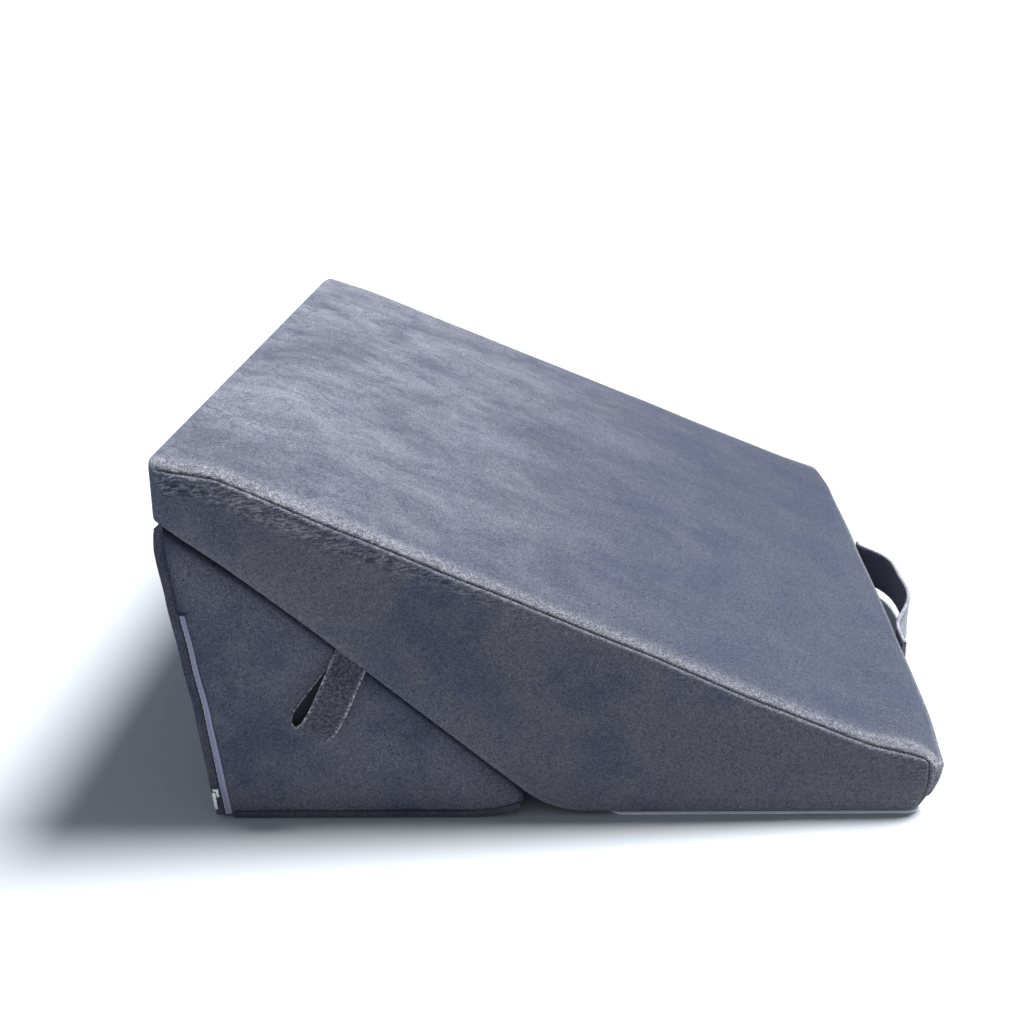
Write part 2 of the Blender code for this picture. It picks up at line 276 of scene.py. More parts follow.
# %% [markdown]
# Short-pile velvet is a field of upright fibres about a millimetre long. They clump into a fine
# crumb, and wherever a hand has stroked the cloth they lie over and catch the light. The first
# group makes the crumb as a height and a speckle, the second makes the stroked patches and fine
# creases, and the third makes the gathers that a seam pulls into the cloth beside it.

# %% Velvet groups


def make_pile_group():
    group, start, end = new_group(
        "velvet_pile",
        {"Vector": (VECTOR, None), "Clump": (NUMBER, 420.0)},
        {"Height": NUMBER, "Speckle": NUMBER},
    )
    place = start.outputs["Vector"]
    clump = start.outputs["Clump"]
    crumb = add_node(
        group, "ShaderNodeTexNoise", Vector=place, Scale=clump, Detail=2.0, Distortion=1.2
    )
    twice = arithmetic(group, "MULTIPLY", clump, 2.2)
    fibre = add_node(group, "ShaderNodeTexNoise", Vector=place, Scale=twice, Detail=1.0)
    coarse = ramp(group, crumb.outputs[0], ((0.34, 0.0), (0.66, 1.0)))
    fine = ramp(group, fibre.outputs[0], ((0.36, 0.0), (0.64, 1.0)))
    height = mix_colours(group, 0.45, coarse, fine)
    group.links.new(height, end.inputs["Height"])
    group.links.new(height, end.inputs["Speckle"])
    return group


def make_stroke_group():
    group, start, end = new_group(
        "stroked_pile",
        {"Vector": (VECTOR, None), "Size": (NUMBER, 9.0)},
        {"Patch": NUMBER, "Crease": NUMBER},
    )
    turned = add_node(
        group,
        "ShaderNodeMapping",
        Vector=start.outputs["Vector"],
        Rotation=(0.0, 0.0, math.radians(-24.0)),
        Scale=(0.8, 1.35, 1.0),
    )
    size = start.outputs["Size"]
    broad = add_node(
        group, "ShaderNodeTexNoise", Vector=turned.outputs[0], Scale=size, Detail=7.0,
        Roughness=0.66, Distortion=0.35,
    )
    shaped = ramp(group, broad.outputs[0], ((0.42, 0.0), (0.60, 1.0)))
    small = arithmetic(group, "MULTIPLY", size, 4.0)
    strokes = add_node(
        group, "ShaderNodeTexNoise", Vector=turned.outputs[0], Scale=small, Detail=6.0,
        Roughness=0.7, Distortion=0.5,
    )
    marks = ramp(group, strokes.outputs[0], ((0.44, 0.0), (0.58, 1.0)))
    group.links.new(mix_colours(group, 0.38, shaped, marks), end.inputs["Patch"])
    finer = arithmetic(group, "MULTIPLY", size, 2.6)
    fold = add_node(
        group, "ShaderNodeTexNoise", Vector=turned.outputs[0], Scale=finer, Detail=4.0,
        Roughness=0.55, Distortion=0.8,
    )
    ridge = arithmetic(group, "ABSOLUTE", arithmetic(group, "SUBTRACT", fold.outputs[0], 0.5))
    crease = ramp(group, ridge, ((0.0, 1.0), (0.022, 0.0)))
    group.links.new(crease, end.inputs["Crease"])
    return group


def make_gather_group():
    group, start, end = new_group(
        "seam_gathers", {"Vector": (VECTOR, None), "Size": (NUMBER, 130.0)}, {"Gather": NUMBER}
    )
    flat = add_node(
        group, "ShaderNodeMapping", Vector=start.outputs["Vector"], Scale=(1.0, 1.6, 3.9)
    )
    wrinkle = add_node(
        group, "ShaderNodeTexNoise", Vector=flat.outputs[0], Scale=start.outputs["Size"],
        Detail=3.0, Roughness=0.6, Distortion=0.9,
    )
    gather = ramp(group, wrinkle.outputs[0], ((0.38, 0.0), (0.62, 1.0)))
    group.links.new(gather, end.inputs["Gather"])
    return group


velvet_pile = make_pile_group()
stroked_pile = make_stroke_group()
seam_gathers = make_gather_group()

# %% [markdown]
# The cover tells its material where it is stroked and where a painted sheen pales it, where its edges take
# a painted highlight, where painted shade lies under the cushion, where a seam gathers it, and how far each
# point lies from the seam. The velvet turns those numbers into colour and relief, so the pile follows the
# sewing.

# %% Velvet material
SEAM_SPAN = 0.04


def read_paint(tree, name):
    return add_node(tree, "ShaderNodeAttribute", {"attribute_name": name}).outputs["Fac"]


def velvet(name, base, pale, dark, highlight_pale, speckle=1.2, stroke=0.7, size=8.0, bump=0.8):
    """Velvet that goes from its base colour to a pale one where stroked and under a painted sheen, and to a
    dark one in blots. It also takes painted shade, painted highlights on its edges and painted light and
    shade on its gathers.
    """
    made = bpy.data.materials.new(name)
    made.use_nodes = True
    tree = made.node_tree
    shader = tree.nodes["Principled BSDF"]
    painted_shade_colour = tuple(0.45 * value for value in dark)
    place = add_node(tree, "ShaderNodeTexCoord").outputs["Object"]
    pile = place_group(tree, velvet_pile, Vector=place, Clump=560.0)
    strokes = place_group(tree, stroked_pile, Vector=place, Size=size)
    gathers = place_group(tree, seam_gathers, Vector=place)
    brushed_and_sheen = read_paint(tree, "brushed_and_sheen")
    edge_paleness = read_paint(tree, "edge_highlight")
    gathered = read_paint(tree, "gathered")
    away = arithmetic(tree, "SUBTRACT", read_paint(tree, "seam_walk"), 0.5)
    away = arithmetic(tree, "ABSOLUTE", away)
    seam_line = ramp(tree, away, ((0.006, 1.0), (0.021, 0.0)))

    blot = add_node(tree, "ShaderNodeTexNoise", Vector=place, Scale=15.0, Detail=3.0).outputs[0]
    blot = ramp(tree, blot, ((0.47, 0.0), (0.62, 0.85)))
    colour = mix_colours(tree, blot, (*base, 1.0), (*dark, 1.0))
    # The pale mix is partly the brushed pile's patches and partly a painted sheen, which the cushion cover
    # paints paler towards the high end.
    even = arithmetic(tree, "MULTIPLY", brushed_and_sheen, 0.30)
    patch = arithmetic(tree, "MULTIPLY", strokes.outputs["Patch"], brushed_and_sheen)
    patch = arithmetic(tree, "MULTIPLY", patch, stroke)
    colour = mix_colours(tree, arithmetic(tree, "ADD", patch, even), colour, (*pale, 1.0))
    # Painted shade: darker where the wedge meets the cushion's edge above it.
    colour = mix_colours(tree, read_paint(tree, "painted_shade"), colour, (*painted_shade_colour, 1.0))
    crease = arithmetic(tree, "MULTIPLY", strokes.outputs["Crease"], brushed_and_sheen)
    crease = arithmetic(tree, "MULTIPLY", crease, 0.45)
    colour = mix_colours(tree, crease, colour, (*dark, 1.0))
    # Painted highlight: the edge highlight paints the rims, the lit low end and the lower edge of the sides
    # pale, broken up by the pile's speckle.
    fuzz = arithmetic(tree, "ADD", arithmetic(tree, "MULTIPLY", pile.outputs["Speckle"], 0.9), 0.25)
    edge_paleness = arithmetic(tree, "MULTIPLY", edge_paleness, fuzz)
    colour = mix_colours(tree, edge_paleness, colour, (*highlight_pale, 1.0))
    # Painted highlight: the ridges of the seam's gathers are mixed towards the pale colour.
    gather_highlight = arithmetic(tree, "MULTIPLY", gathers.outputs["Gather"], gathered)
    gather_highlight = arithmetic(tree, "MULTIPLY", gather_highlight, 0.55)
    colour = mix_colours(tree, gather_highlight, colour, (*highlight_pale, 1.0))

    fleck = arithmetic(tree, "SUBTRACT", pile.outputs["Speckle"], 0.5)
    fleck = arithmetic(tree, "ADD", arithmetic(tree, "MULTIPLY", fleck, speckle), 1.0)
    # Painted light and shade: the gathers' wrinkles are also made lighter and darker in colour, as their
    # shading.
    wrinkle = arithmetic(tree, "SUBTRACT", gathers.outputs["Gather"], 0.5)
    wrinkle = arithmetic(tree, "MULTIPLY", wrinkle, gathered)
    wrinkle = arithmetic(tree, "ADD", arithmetic(tree, "MULTIPLY", wrinkle, 1.1), 1.0)
    broken = ramp(tree, gathers.outputs["Gather"], ((0.2, 0.9), (0.9, 0.45)))
    line = arithmetic(tree, "SUBTRACT", 1.0, arithmetic(tree, "MULTIPLY", seam_line, broken))
    shade = arithmetic(tree, "MULTIPLY", arithmetic(tree, "MULTIPLY", fleck, wrinkle), line)
    grey = add_node(tree, "ShaderNodeCombineColor", Red=shade, Green=shade, Blue=shade).outputs[0]
    colour = mix_colours(tree, 1.0, colour, grey, "MULTIPLY")
    tree.links.new(colour, shader.inputs["Base Color"])
    shader.inputs["Roughness"].default_value = 0.9
    shader.inputs["Specular IOR Level"].default_value = 0.12
    shader.inputs["Sheen Weight"].default_value = 0.06
    shader.inputs["Sheen Roughness"].default_value = 0.45
    shader.inputs["Sheen Tint"].default_value = (0.86, 0.89, 1.0, 1.0)

    fine = add_node(
        tree, "ShaderNodeBump", Strength=bump, Distance=0.0010, Height=pile.outputs["Height"]
    )
    deep = arithmetic(tree, "MULTIPLY", gathers.outputs["Gather"], gathered)
    deep = arithmetic(tree, "SUBTRACT", deep, arithmetic(tree, "MULTIPLY", crease, 0.5))
    relief = add_node(
        tree, "ShaderNodeBump", Strength=0.8, Distance=0.0010, Height=deep, Normal=fine.outputs[0]
    )
    tree.links.new(relief.outputs[0], shader.inputs["Normal"])
    return made


# PILE_HIGHLIGHT is the colour of the painted highlights on the velvet's edges and gathers.
PILE_HIGHLIGHT = (0.20, 0.205, 0.23)
# The top, side and wedge velvets are one cloth. Their colours differ partly by the lie of the pile and
# partly as painted light and shade, each set against the light its panel gets.
velvet_top = velvet(
    "velvet_top", (0.044, 0.051, 0.078), (0.150, 0.158, 0.198), (0.035, 0.041, 0.074), PILE_HIGHLIGHT
)
velvet_side = velvet(
    "velvet_side", (0.096, 0.098, 0.121), (0.17, 0.175, 0.195), (0.058, 0.066, 0.108), PILE_HIGHLIGHT, 1.1
)
velvet_wedge = velvet(
    "velvet_wedge", (0.104, 0.107, 0.138), (0.16, 0.165, 0.20), (0.052, 0.060, 0.104), PILE_HIGHLIGHT, 1.2
)
# velvet_trim is darker partly as painted shade: the zip fold turns away from the light and the bound seams
# lie at the shaded foot of the wedge.
velvet_trim = velvet(
    "velvet_trim", (0.060, 0.062, 0.082), (0.10, 0.105, 0.13), (0.038, 0.042, 0.070), PILE_HIGHLIGHT, 1.2
)
print("velvets ready")

# %% [markdown]
# Each cover is a box of small faces, rounded along its edges and bent to the foam's shape. A station of the
# box is a share of the way between its rounded edges plus a step past them, so one list works at every
# thickness of the foam. The same steps say how far a point lies from the seam, which is what puckers,
# grooves and the painted edge highlights are made from.

# %% Box of small faces


def stations(low_radius, high_radius, turns, shares):
    """(share, step, past) of every line along one axis. The lines of a rounded edge turn evenly
    from 45 degrees to none, and past is the tangent of that turn."""
    tangents = np.tan(np.linspace(math.pi / 4, 0.0, turns + 1))
    inner = np.array(shares[1:-1])
    share = np.concatenate([np.zeros(turns + 1), inner, np.ones(turns + 1)])
    past = np.concatenate([-tangents, np.zeros(len(inner)), tangents[::-1]])
    step = np.where(past < 0, past * low_radius, past * high_radius)
    return share, step, past


def box_surface(nx, ny, nz):
    """The lattice places (i, j, k) on the surface of a box of faces, and its quads by side."""
    i, j, k = np.meshgrid(np.arange(nx), np.arange(ny), np.arange(nz), indexing="ij")
    outer = (i % (nx - 1) == 0) | (j % (ny - 1) == 0) | (k % (nz - 1) == 0)
    number = -np.ones((nx, ny, nz), int)
    number[outer] = np.arange(outer.sum())
    sides = {}
    for axis, label in enumerate("xyz"):
        for end, sign in ((0, "-"), (-1, "+")):
            grid = np.take(number, 0 if end == 0 else number.shape[axis] - 1, axis=axis)
            if axis == 1:
                grid = grid.T
            quads = np.stack([grid[:-1, :-1], grid[1:, :-1], grid[1:, 1:], grid[:-1, 1:]], -1)
            quads = quads.reshape(-1, 4)
            sides[sign + label] = quads if sign == "+" else quads[:, ::-1]
    return i[outer], j[outer], k[outer], sides


def vertex_normals(points, quads):
    across = points[quads[:, 2]] - points[quads[:, 0]]
    along = points[quads[:, 3]] - points[quads[:, 1]]
    faces = np.cross(across, along)
    normals = np.zeros_like(points)
    for corner in range(4):
        np.add.at(normals, quads[:, corner], faces)
    return normals / np.maximum(np.linalg.norm(normals, axis=1, keepdims=True), 1e-12)


def ripple(points, length, seed, waves=14):
    """A soft uneven field between about -1 and 1, from a sum of waves of about one length."""
    random = np.random.default_rng(seed)
    total = np.zeros(len(points))
    for _ in range(waves):
        way = random.normal(size=points.shape[1])
        way *= 2 * math.pi / (np.linalg.norm(way) * length * random.uniform(0.7, 1.6))
        total += np.sin(points @ way + random.uniform(0, 2 * math.pi))
    return total / math.sqrt(waves / 2) * 0.7


def new_piece(name, points, faces, materials, slots=None, smooth_faces=True):
    """A mesh object from pattern points, moved to the pillow's place."""
    data = bpy.data.meshes.new(name)
    data.from_pydata((np.asarray(points) + OFFSET).tolist(), [], np.asarray(faces).tolist())
    for finish in materials:
        data.materials.append(finish)
    if slots is not None:
        data.polygons.foreach_set("material_index", np.asarray(slots, np.int32))
    if smooth_faces:
        data.shade_smooth()
    data.update()
    obj = bpy.data.objects.new(name, data)
    scene.collection.objects.link(obj)
    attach(obj, "root")
    return obj


def paint(obj, name, values):
    """Stores one number at each point, for the material to read."""
    layer = obj.data.attributes.new(name, "FLOAT", "POINT")
    layer.data.foreach_set("value", np.clip(values, 0.0, 1.0).astype(np.float32))


# %% [markdown]
# The sloping cushion is one filled block. Its top panel is nearly flat with a low crown, and it
# wraps over the low end, whose soft bulge hangs out past the seam. The near top edge isn't quite
# straight: the foam stands up near the high end and dips before the low end.

# %% Shape of the cushion
TOP_CROWN = 0.006
SIDE_CROWN = 0.006
FAR_RISE_SHARE = 0.35
FOLD_RADIUS = 0.070
HIGH_END_SAG = 0.0045
HIGH_END_LEAN = 0.0045
LOW_END_TUCK = 0.010
FAR_END_RADIUS = 0.011
LOW_LIFT = 0.012
LOW_LIFT_START = 0.556
LOW_LIFT_RUN = 0.027
SIDE_RADIUS = 0.009
TOP_RADIUS = 0.009
BOTTOM_RADIUS = 0.003
HIGH_END_RADIUS = 0.003
LOW_END_RADIUS = 0.021

seam_rise = table_curve(
    # (distance from the high end, rise above a straight line)
    (
        (0.000, 0.000),
        (0.050, 0.010),
        (0.140, 0.006),
        (0.230, 0.003),
        (0.340, 0.000),
        (0.440, -0.005),
        (0.515, -0.006),
        (0.565, 0.000),
    )
)
low_end_reach = table_curve(
    # (place across the pillow, reach past the seam)
    (
        (-0.305, 0.014),
        (-0.215, 0.020),
        (-0.060, 0.018),
        (0.115, 0.013),
        (0.255, 0.008),
        (0.305, 0.002),
    )
)


def underside_line(x):
    """The slanted plane between the two blocks, which sags a little at the high end."""
    return UNDERSIDE_TOP - UNDERSIDE_SLOPE * x - HIGH_END_SAG * (1 - smooth(0.0, 0.11, x))


def cushion_bottom(x):
    base = BASE_THICKNESS + GAP
    slant = math.atan(UNDERSIDE_SLOPE)
    middle = (UNDERSIDE_TOP - base) / UNDERSIDE_SLOPE + FOLD_RADIUS * math.tan(slant / 2)
    away = np.clip(middle - x, 0.0, FOLD_RADIUS * math.sin(slant))
    curved = base + FOLD_RADIUS - np.sqrt(FOLD_RADIUS**2 - away**2)
    straight = np.where(x < middle - FOLD_RADIUS * math.sin(slant), underside_line(x), curved)
    lift = LOW_LIFT * (np.maximum(x - LOW_LIFT_START, 0.0) / LOW_LIFT_RUN) ** 2
    return straight + lift


def cushion_top(x, y):
    straight = HIGH_TOP + (LOW_TOP - HIGH_TOP) * x / SEAM_LENGTH
    nearness = np.clip(0.5 - y / WIDTH, 0.0, 1.0)
    rise = (FAR_RISE_SHARE + (1 - FAR_RISE_SHARE) * nearness) * seam_rise(x)
    return straight + rise + TOP_CROWN * hump(x / SEAM_LENGTH) * hump(0.5 + y / WIDTH)


def cushion_end(y):
    return SEAM_LENGTH + low_end_reach(y)


# %% [markdown]
# The side panels are sewn in just below the rounded edge. A sewn seam in plush shows as a narrow
# drawn-in line with a soft shoulder on both sides, and the thread gathers the cloth beside it.
# Only its run along the top and down the low end can be seen, so the relief is made there. The
# gathers are strongest near the high end, where the cover is stretched hard.

# %% Seam relief
SEAM_TURN = math.radians(22.5)
GROOVE_DEPTH = 0.0009
GROOVE_HALF_WIDTH = 0.0007
SHOULDER = 0.0004
PUCKER_PITCH = 0.0085


def seam_distance(past, inward, turn_radius):
    """How far a point of the cover lies from the side seam, and less than 0 on the side panel.
    inward is how far it lies inside the rounded edge on its own panel."""
    sideways = np.abs(past[1])
    other = np.hypot(past[0], past[2])
    turn = np.arctan2(other, sideways)
    walk = turn_radius * (turn - SEAM_TURN)
    walk = np.where(other < 1e-9, -inward - turn_radius * SEAM_TURN, walk)
    return np.where(sideways < 1e-9, inward + turn_radius * (math.pi / 2 - SEAM_TURN), walk)


def seam_relief(walk, along, strength, seed):
    """How far the cover stands out near a seam, at a distance walk from it."""
    groove = -GROOVE_DEPTH * np.exp(-((walk / GROOVE_HALF_WIDTH) ** 2))
    shoulder = SHOULDER * np.exp(-(((np.abs(walk) - 0.003) / 0.002) ** 2))
    line = np.stack([along, np.sign(walk) * 0.3], -1)
    drift = ripple(line, 0.045, seed) * 2.6
    wave = np.cos(2 * math.pi * along / PUCKER_PITCH + drift)
    reach = np.maximum(0.006 + 0.004 * ripple(line, 0.03, seed + 1), 0.003)
    pucker = 0.00032 * strength * wave * np.exp(-np.abs(walk) / reach)
    return groove + shoulder + pucker * (1 - np.exp(-((walk / 0.0012) ** 2)))


# %% Cover of the cushion
CUSHION_COLUMNS = 270
FAR_CORNER = 0.030
CUSHION_RIBS = 44
CUSHION_ROWS = 34
EDGE_TURNS = 10


def crowded(count, crowd=0.11):
    """Shares from 0 to 1 that lie closer together at both ends."""
    even = np.linspace(0.0, 1.0, count)
    return even - crowd * np.sin(2 * math.pi * even)


def make_cushion_cover():
    columns = stations(
        HIGH_END_RADIUS, LOW_END_RADIUS, EDGE_TURNS, crowded(CUSHION_COLUMNS, 0.05)
    )
    ribs = stations(SIDE_RADIUS, SIDE_RADIUS, EDGE_TURNS, crowded(CUSHION_RIBS))
    rows = stations(BOTTOM_RADIUS, TOP_RADIUS, EDGE_TURNS, crowded(CUSHION_ROWS))
    i, j, k, sides = box_surface(len(columns[0]), len(ribs[0]), len(rows[0]))
    past = np.stack([columns[2][i], ribs[2][j], rows[2][k]])
    length = np.maximum(np.linalg.norm(past, axis=0), 1.0)

    inner_y = -HALF + SIDE_RADIUS + ribs[0][j] * (WIDTH - 2 * SIDE_RADIUS)
    y = inner_y + past[1] / length * SIDE_RADIUS
    end = cushion_end(inner_y + ribs[1][j])
    low_radius = LOW_END_RADIUS + (FAR_END_RADIUS - LOW_END_RADIUS) * smooth(0.05, 0.25, inner_y)
    span = end - low_radius - HIGH_END - HIGH_END_RADIUS
    inner_x = HIGH_END + HIGH_END_RADIUS + columns[0][i] * span
    radius_x = np.where(past[0] < 0, HIGH_END_RADIUS, low_radius)
    x = inner_x + past[0] / length * radius_x
    flat_x = inner_x + columns[1][i] * np.where(past[0] < 0, 1.0, low_radius / LOW_END_RADIUS)
    low, high = cushion_bottom(flat_x), cushion_top(flat_x, inner_y + ribs[1][j])
    inner_z = low + BOTTOM_RADIUS + rows[0][k] * (high - TOP_RADIUS - low - BOTTOM_RADIUS)
    radius_z = np.where(past[2] < 0, BOTTOM_RADIUS, TOP_RADIUS)
    z = inner_z + past[2] / length * radius_z

    share = (z - low) / (high - low)
    outward = np.clip(np.abs(y) / HALF, 0, 1) ** 15 * hump(x / end) ** 0.4
    y = y + np.sign(y) * SIDE_CROWN * outward * hump(share)
    points = np.stack([x, y, z], -1)
    quads = np.concatenate(list(sides.values()))
    normals = vertex_normals(points, quads)

    across = np.abs(past[0]) + np.abs(past[2]) + 1e-9
    turn_radius = (np.abs(past[0]) * radius_x + np.abs(past[2]) * radius_z) / across
    turn_radius = np.where(across < 1e-6, TOP_RADIUS, turn_radius)
    gap_x = np.minimum(inner_x - HIGH_END - HIGH_END_RADIUS, end - low_radius - inner_x)
    gap_y = np.minimum(inner_y + HALF - SIDE_RADIUS, HALF - SIDE_RADIUS - inner_y)
    gap_z = np.minimum(inner_z - low - BOTTOM_RADIUS, high - TOP_RADIUS - inner_z)
    inward = np.where(np.abs(past[1]) < 1e-9, gap_y, np.minimum(gap_x, gap_z))
    walk = seam_distance(past, np.maximum(inward, 0.0), turn_radius)

    near = (y < 0).astype(float)
    high_end = 1 - smooth(0.10, 0.34, x)
    low_end = smooth(0.50, 0.56, x)
    gather = 0.35 + 0.9 * high_end + 0.5 * low_end
    by_top = smooth(0.45, 0.70, share) * smooth(HIGH_END + 0.003, HIGH_END + 0.010, x)
    by_low_end = smooth(SEAM_LENGTH - 0.03, SEAM_LENGTH - 0.01, x)
    sewn = np.maximum(by_top, by_low_end)
    lift = seam_relief(walk, x + 1.7 * (1 - near) + 0.6 * z, gather, 3) * sewn
    broad = 0.0010 * ripple(points * (1.0, 1.6, 1.0), 0.12, 11)
    fine = 0.00025 * ripple(points * (1.0, 1.5, 1.0), 0.022, 12)
    away = smooth(0.004, 0.03, np.abs(walk)) * smooth(0.0, 0.05, x - HIGH_END)
    away = away * smooth(0.0, 0.03, end - x)
    resting = smooth(0.0, 0.02, z - cushion_bottom(np.clip(x, 0, SEAM_LENGTH)))
    points = points + normals * ((lift + (broad + fine) * away) * resting)[:, None]
    points[:, 0] -= HIGH_END_LEAN * (1 - share) * (1 - smooth(0.0, 0.05, x - HIGH_END))
    tuck = np.clip(1 - (z - low) / 0.034, 0, 1) ** 2 * smooth(SEAM_LENGTH - 0.02, SEAM_LENGTH + 0.01, x)
    points[:, 0] -= LOW_END_TUCK * tuck

    inset_x = np.clip(1 - (points[:, 0] - HIGH_END) / FAR_CORNER, 0, 1)
    inset_y = np.clip(1 - (HALF - points[:, 1]) / FAR_CORNER, 0, 1)
    points[:, 0] += FAR_CORNER * inset_x * (1 - np.sqrt(1 - inset_y**2 / 2))
    points[:, 1] -= FAR_CORNER * inset_y * (1 - np.sqrt(1 - inset_x**2 / 2))

    slots = np.concatenate(
        [np.full(len(quads_of), int(side[1] == "y")) for side, quads_of in sides.items()]
    )
    cover = new_piece("cushion_cover", points, quads, (velvet_top, velvet_side), slots)
    depth = high - z
    on_side = np.abs(past[1]) > 1e-9
    top_side = smooth(-0.001, 0.003, walk) * (1 - smooth(0.006, 0.014, depth))
    # Painted sheen: the top is painted paler towards the high end, on top of its brushed patches; the sides
    # below the seam stay low.
    pale = 0.10 + 0.90 * (1 - smooth(0.02, 0.48, x - 0.05 * y / HALF))
    paint(cover, "brushed_and_sheen", np.where(on_side & (walk < 0), 0.15, pale))
    # Painted highlights: a pale band above the seam and a narrower one below it, painted light on the low
    # end's bulge and rim, and a painted reflection of the bright floor along the sides' lower edge.
    rim_width = 0.006 + 0.005 * low_end + 0.003 * high_end
    rim = np.exp(-np.maximum(walk - rim_width, 0.0) / 0.004) * top_side
    lit_end_bulge = smooth(SEAM_LENGTH - 0.004, SEAM_LENGTH + 0.004, x) * near * (walk > 0) * on_side
    under = np.exp(-np.abs(walk) / 0.003) * (walk < 0)
    lit_end = smooth(-0.006, -0.002, x - end) * smooth(0.02, 0.03, z) * (walk > 0.004)
    edge_highlight = 0.65 * rim + 0.35 * under + 0.6 * lit_end_bulge + 0.55 * lit_end
    lower_rim_highlight = np.exp(-np.abs(z - low) / 0.012) * on_side * (walk < 0)
    paint(cover, "edge_highlight", edge_highlight + 0.3 * lower_rim_highlight)
    deep = 0.005 + 0.005 * high_end
    band = np.exp(-(((walk + deep) / deep) ** 2)) * (walk < 0) * np.maximum(by_top, 0.5 * by_low_end)
    inner_band = np.exp(-walk / 0.008) * (walk >= 0) * by_top
    gathered = (0.20 + 0.80 * high_end + 0.4 * low_end) * (band + 0.7 * inner_band)
    paint(cover, "gathered", gathered)
    paint(cover, "seam_walk", 0.5 + np.where(sewn > 0.5, walk, 0.5 * SEAM_SPAN) / SEAM_SPAN)
    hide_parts("upper_cushion")
    print("cushion cover", len(points), "points")
    last_i, last_k, seam = i.max() - EDGE_TURNS // 2, k.max() - EDGE_TURNS // 2, EDGE_TURNS // 2
    loops = []
    for side in (0, j.max()):
        inside = (j == side) & (i >= seam) & (i <= last_i) & (k >= seam) & (k <= last_k)
        loop = []
        for line, order in (
            (inside & (k == last_k), i),
            (inside & (i == last_i) & (k < last_k), -k),
        ):
            chosen = np.flatnonzero(line)
            loop.append(chosen[np.argsort(order[chosen])])
        loops.append(np.concatenate(loop))
    return cover, [(points[loop], normals[loop]) for loop in loops]


cushion_cover, seam_loops = make_cushion_cover()

# %% [markdown]
# Machine stitches show in a seam as short dashes with a dark needle hole between them. Each is a
# small rounded rod that dips at both ends, and one mesh holds a whole row of them.

# %% Stitches
STITCH_PITCH = 0.0030
STITCH_LENGTH = 0.0021
STITCH_RADIUS = 0.00025


def unit(vectors):
    return vectors / np.maximum(np.linalg.norm(vectors, axis=-1, keepdims=True), 1e-12)


def make_stitches(name, line, normals, finish, pitch, length, radius, lift=0.0003):
    """A row of stitches along a line of points, each lying on the cloth below it."""
    steps = np.linalg.norm(np.diff(line, axis=0), axis=1)
    walked = np.concatenate([[0.0], np.cumsum(steps)])
    middles = np.arange(pitch / 2, walked[-1] - pitch / 2, pitch)

    def at(places, values):
        return np.stack([np.interp(places, walked, values[:, n]) for n in range(3)], -1)

    centre = at(middles, line)
    forward = unit(at(middles + length / 2, line) - at(middles - length / 2, line))
    out = unit(at(middles, normals))
    across = unit(np.cross(out, forward))
    out = np.cross(forward, across)
    turns = np.linspace(0, 2 * math.pi, 6, endpoint=False)
    points = []
    for along, thick, rise in ((-0.5, 0.45, -0.6), (-0.3, 1.0, 0.4), (0.3, 1.0, 0.4), (0.5, 0.45, -0.6)):
        middle = centre + forward * along * length + out * (lift + rise * radius)
        ring = (
            middle[:, None]
            + across[:, None] * (np.cos(turns) * thick * radius)[None, :, None]
            + out[:, None] * (np.sin(turns) * thick * radius)[None, :, None]
        )
        points.append(ring)
    points = np.stack(points, 1)
    index = np.arange(points.shape[0] * 24).reshape(-1, 4, 6)
    after = np.roll(index, -1, axis=2)
    quads = np.stack([index[:, :-1], after[:, :-1], after[:, 1:], index[:, 1:]], -1).reshape(-1, 4)
    faces = quads.tolist() + index[:, 0, ::-1].tolist() + index[:, -1].tolist()
    data = bpy.data.meshes.new(name)
    data.from_pydata((points.reshape(-1, 3) + OFFSET).tolist(), [], faces)
    data.materials.append(finish)
    data.shade_smooth()
    row = bpy.data.objects.new(name, data)
    scene.collection.objects.link(row)
    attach(row, "root")
    print(name, len(middles), "stitches")
    return row


def thread(name, colour):
    """Twisted sewing thread: fine slanted plies in a plain colour."""
    made = bpy.data.materials.new(name)
    made.use_nodes = True
    tree = made.node_tree
    shader = tree.nodes["Principled BSDF"]
    place = add_node(tree, "ShaderNodeTexCoord").outputs["Object"]
    plies = add_node(
        tree, "ShaderNodeTexWave", {"bands_direction": "DIAGONAL"}, Vector=place, Scale=900.0,
        Distortion=1.0,
    )
    shade = arithmetic(tree, "ADD", arithmetic(tree, "MULTIPLY", plies.outputs["Fac"], 0.5), 0.7)
    grey = add_node(tree, "ShaderNodeCombineColor", Red=shade, Green=shade, Blue=shade).outputs[0]
    tree.links.new(mix_colours(tree, 1.0, (*colour, 1.0), grey, "MULTIPLY"), shader.inputs["Base Color"])
    relief = add_node(
        tree, "ShaderNodeBump", Strength=0.5, Distance=0.0001, Height=plies.outputs["Fac"]
    )
    tree.links.new(relief.outputs[0], shader.inputs["Normal"])
    shader.inputs["Roughness"].default_value = 0.6
    return made


grey_thread = thread("grey_thread", (0.17, 0.175, 0.205))
seam_thread = thread("seam_thread", (0.085, 0.088, 0.108))
dark_thread = thread("dark_thread", (0.018, 0.019, 0.028))
white_thread = thread("white_thread", (0.50, 0.50, 0.56))
for side, (loop_points, loop_normals) in zip(("near", "far"), seam_loops):
    make_stitches(
        "seam_stitches_" + side, loop_points, loop_normals, seam_thread, STITCH_PITCH, STITCH_LENGTH,
        STITCH_RADIUS, lift=0.0001,
    )

# %% [markdown]
# The wedge is the same kind of block, cut to a right-angled triangle. Its cover is a little
# loose: soft folds run down its near side, and its back leans out towards the middle.

# %% Shape of the wedge
WEDGE_HALF = 0.303
WEDGE_TIP_X = 0.252
WEDGE_CROWN = 0.003
WEDGE_EDGE = 0.006
WEDGE_ROUND = WEDGE_EDGE * 0.8
TIP_LIFT = 0.008
LIFT_START = 0.205

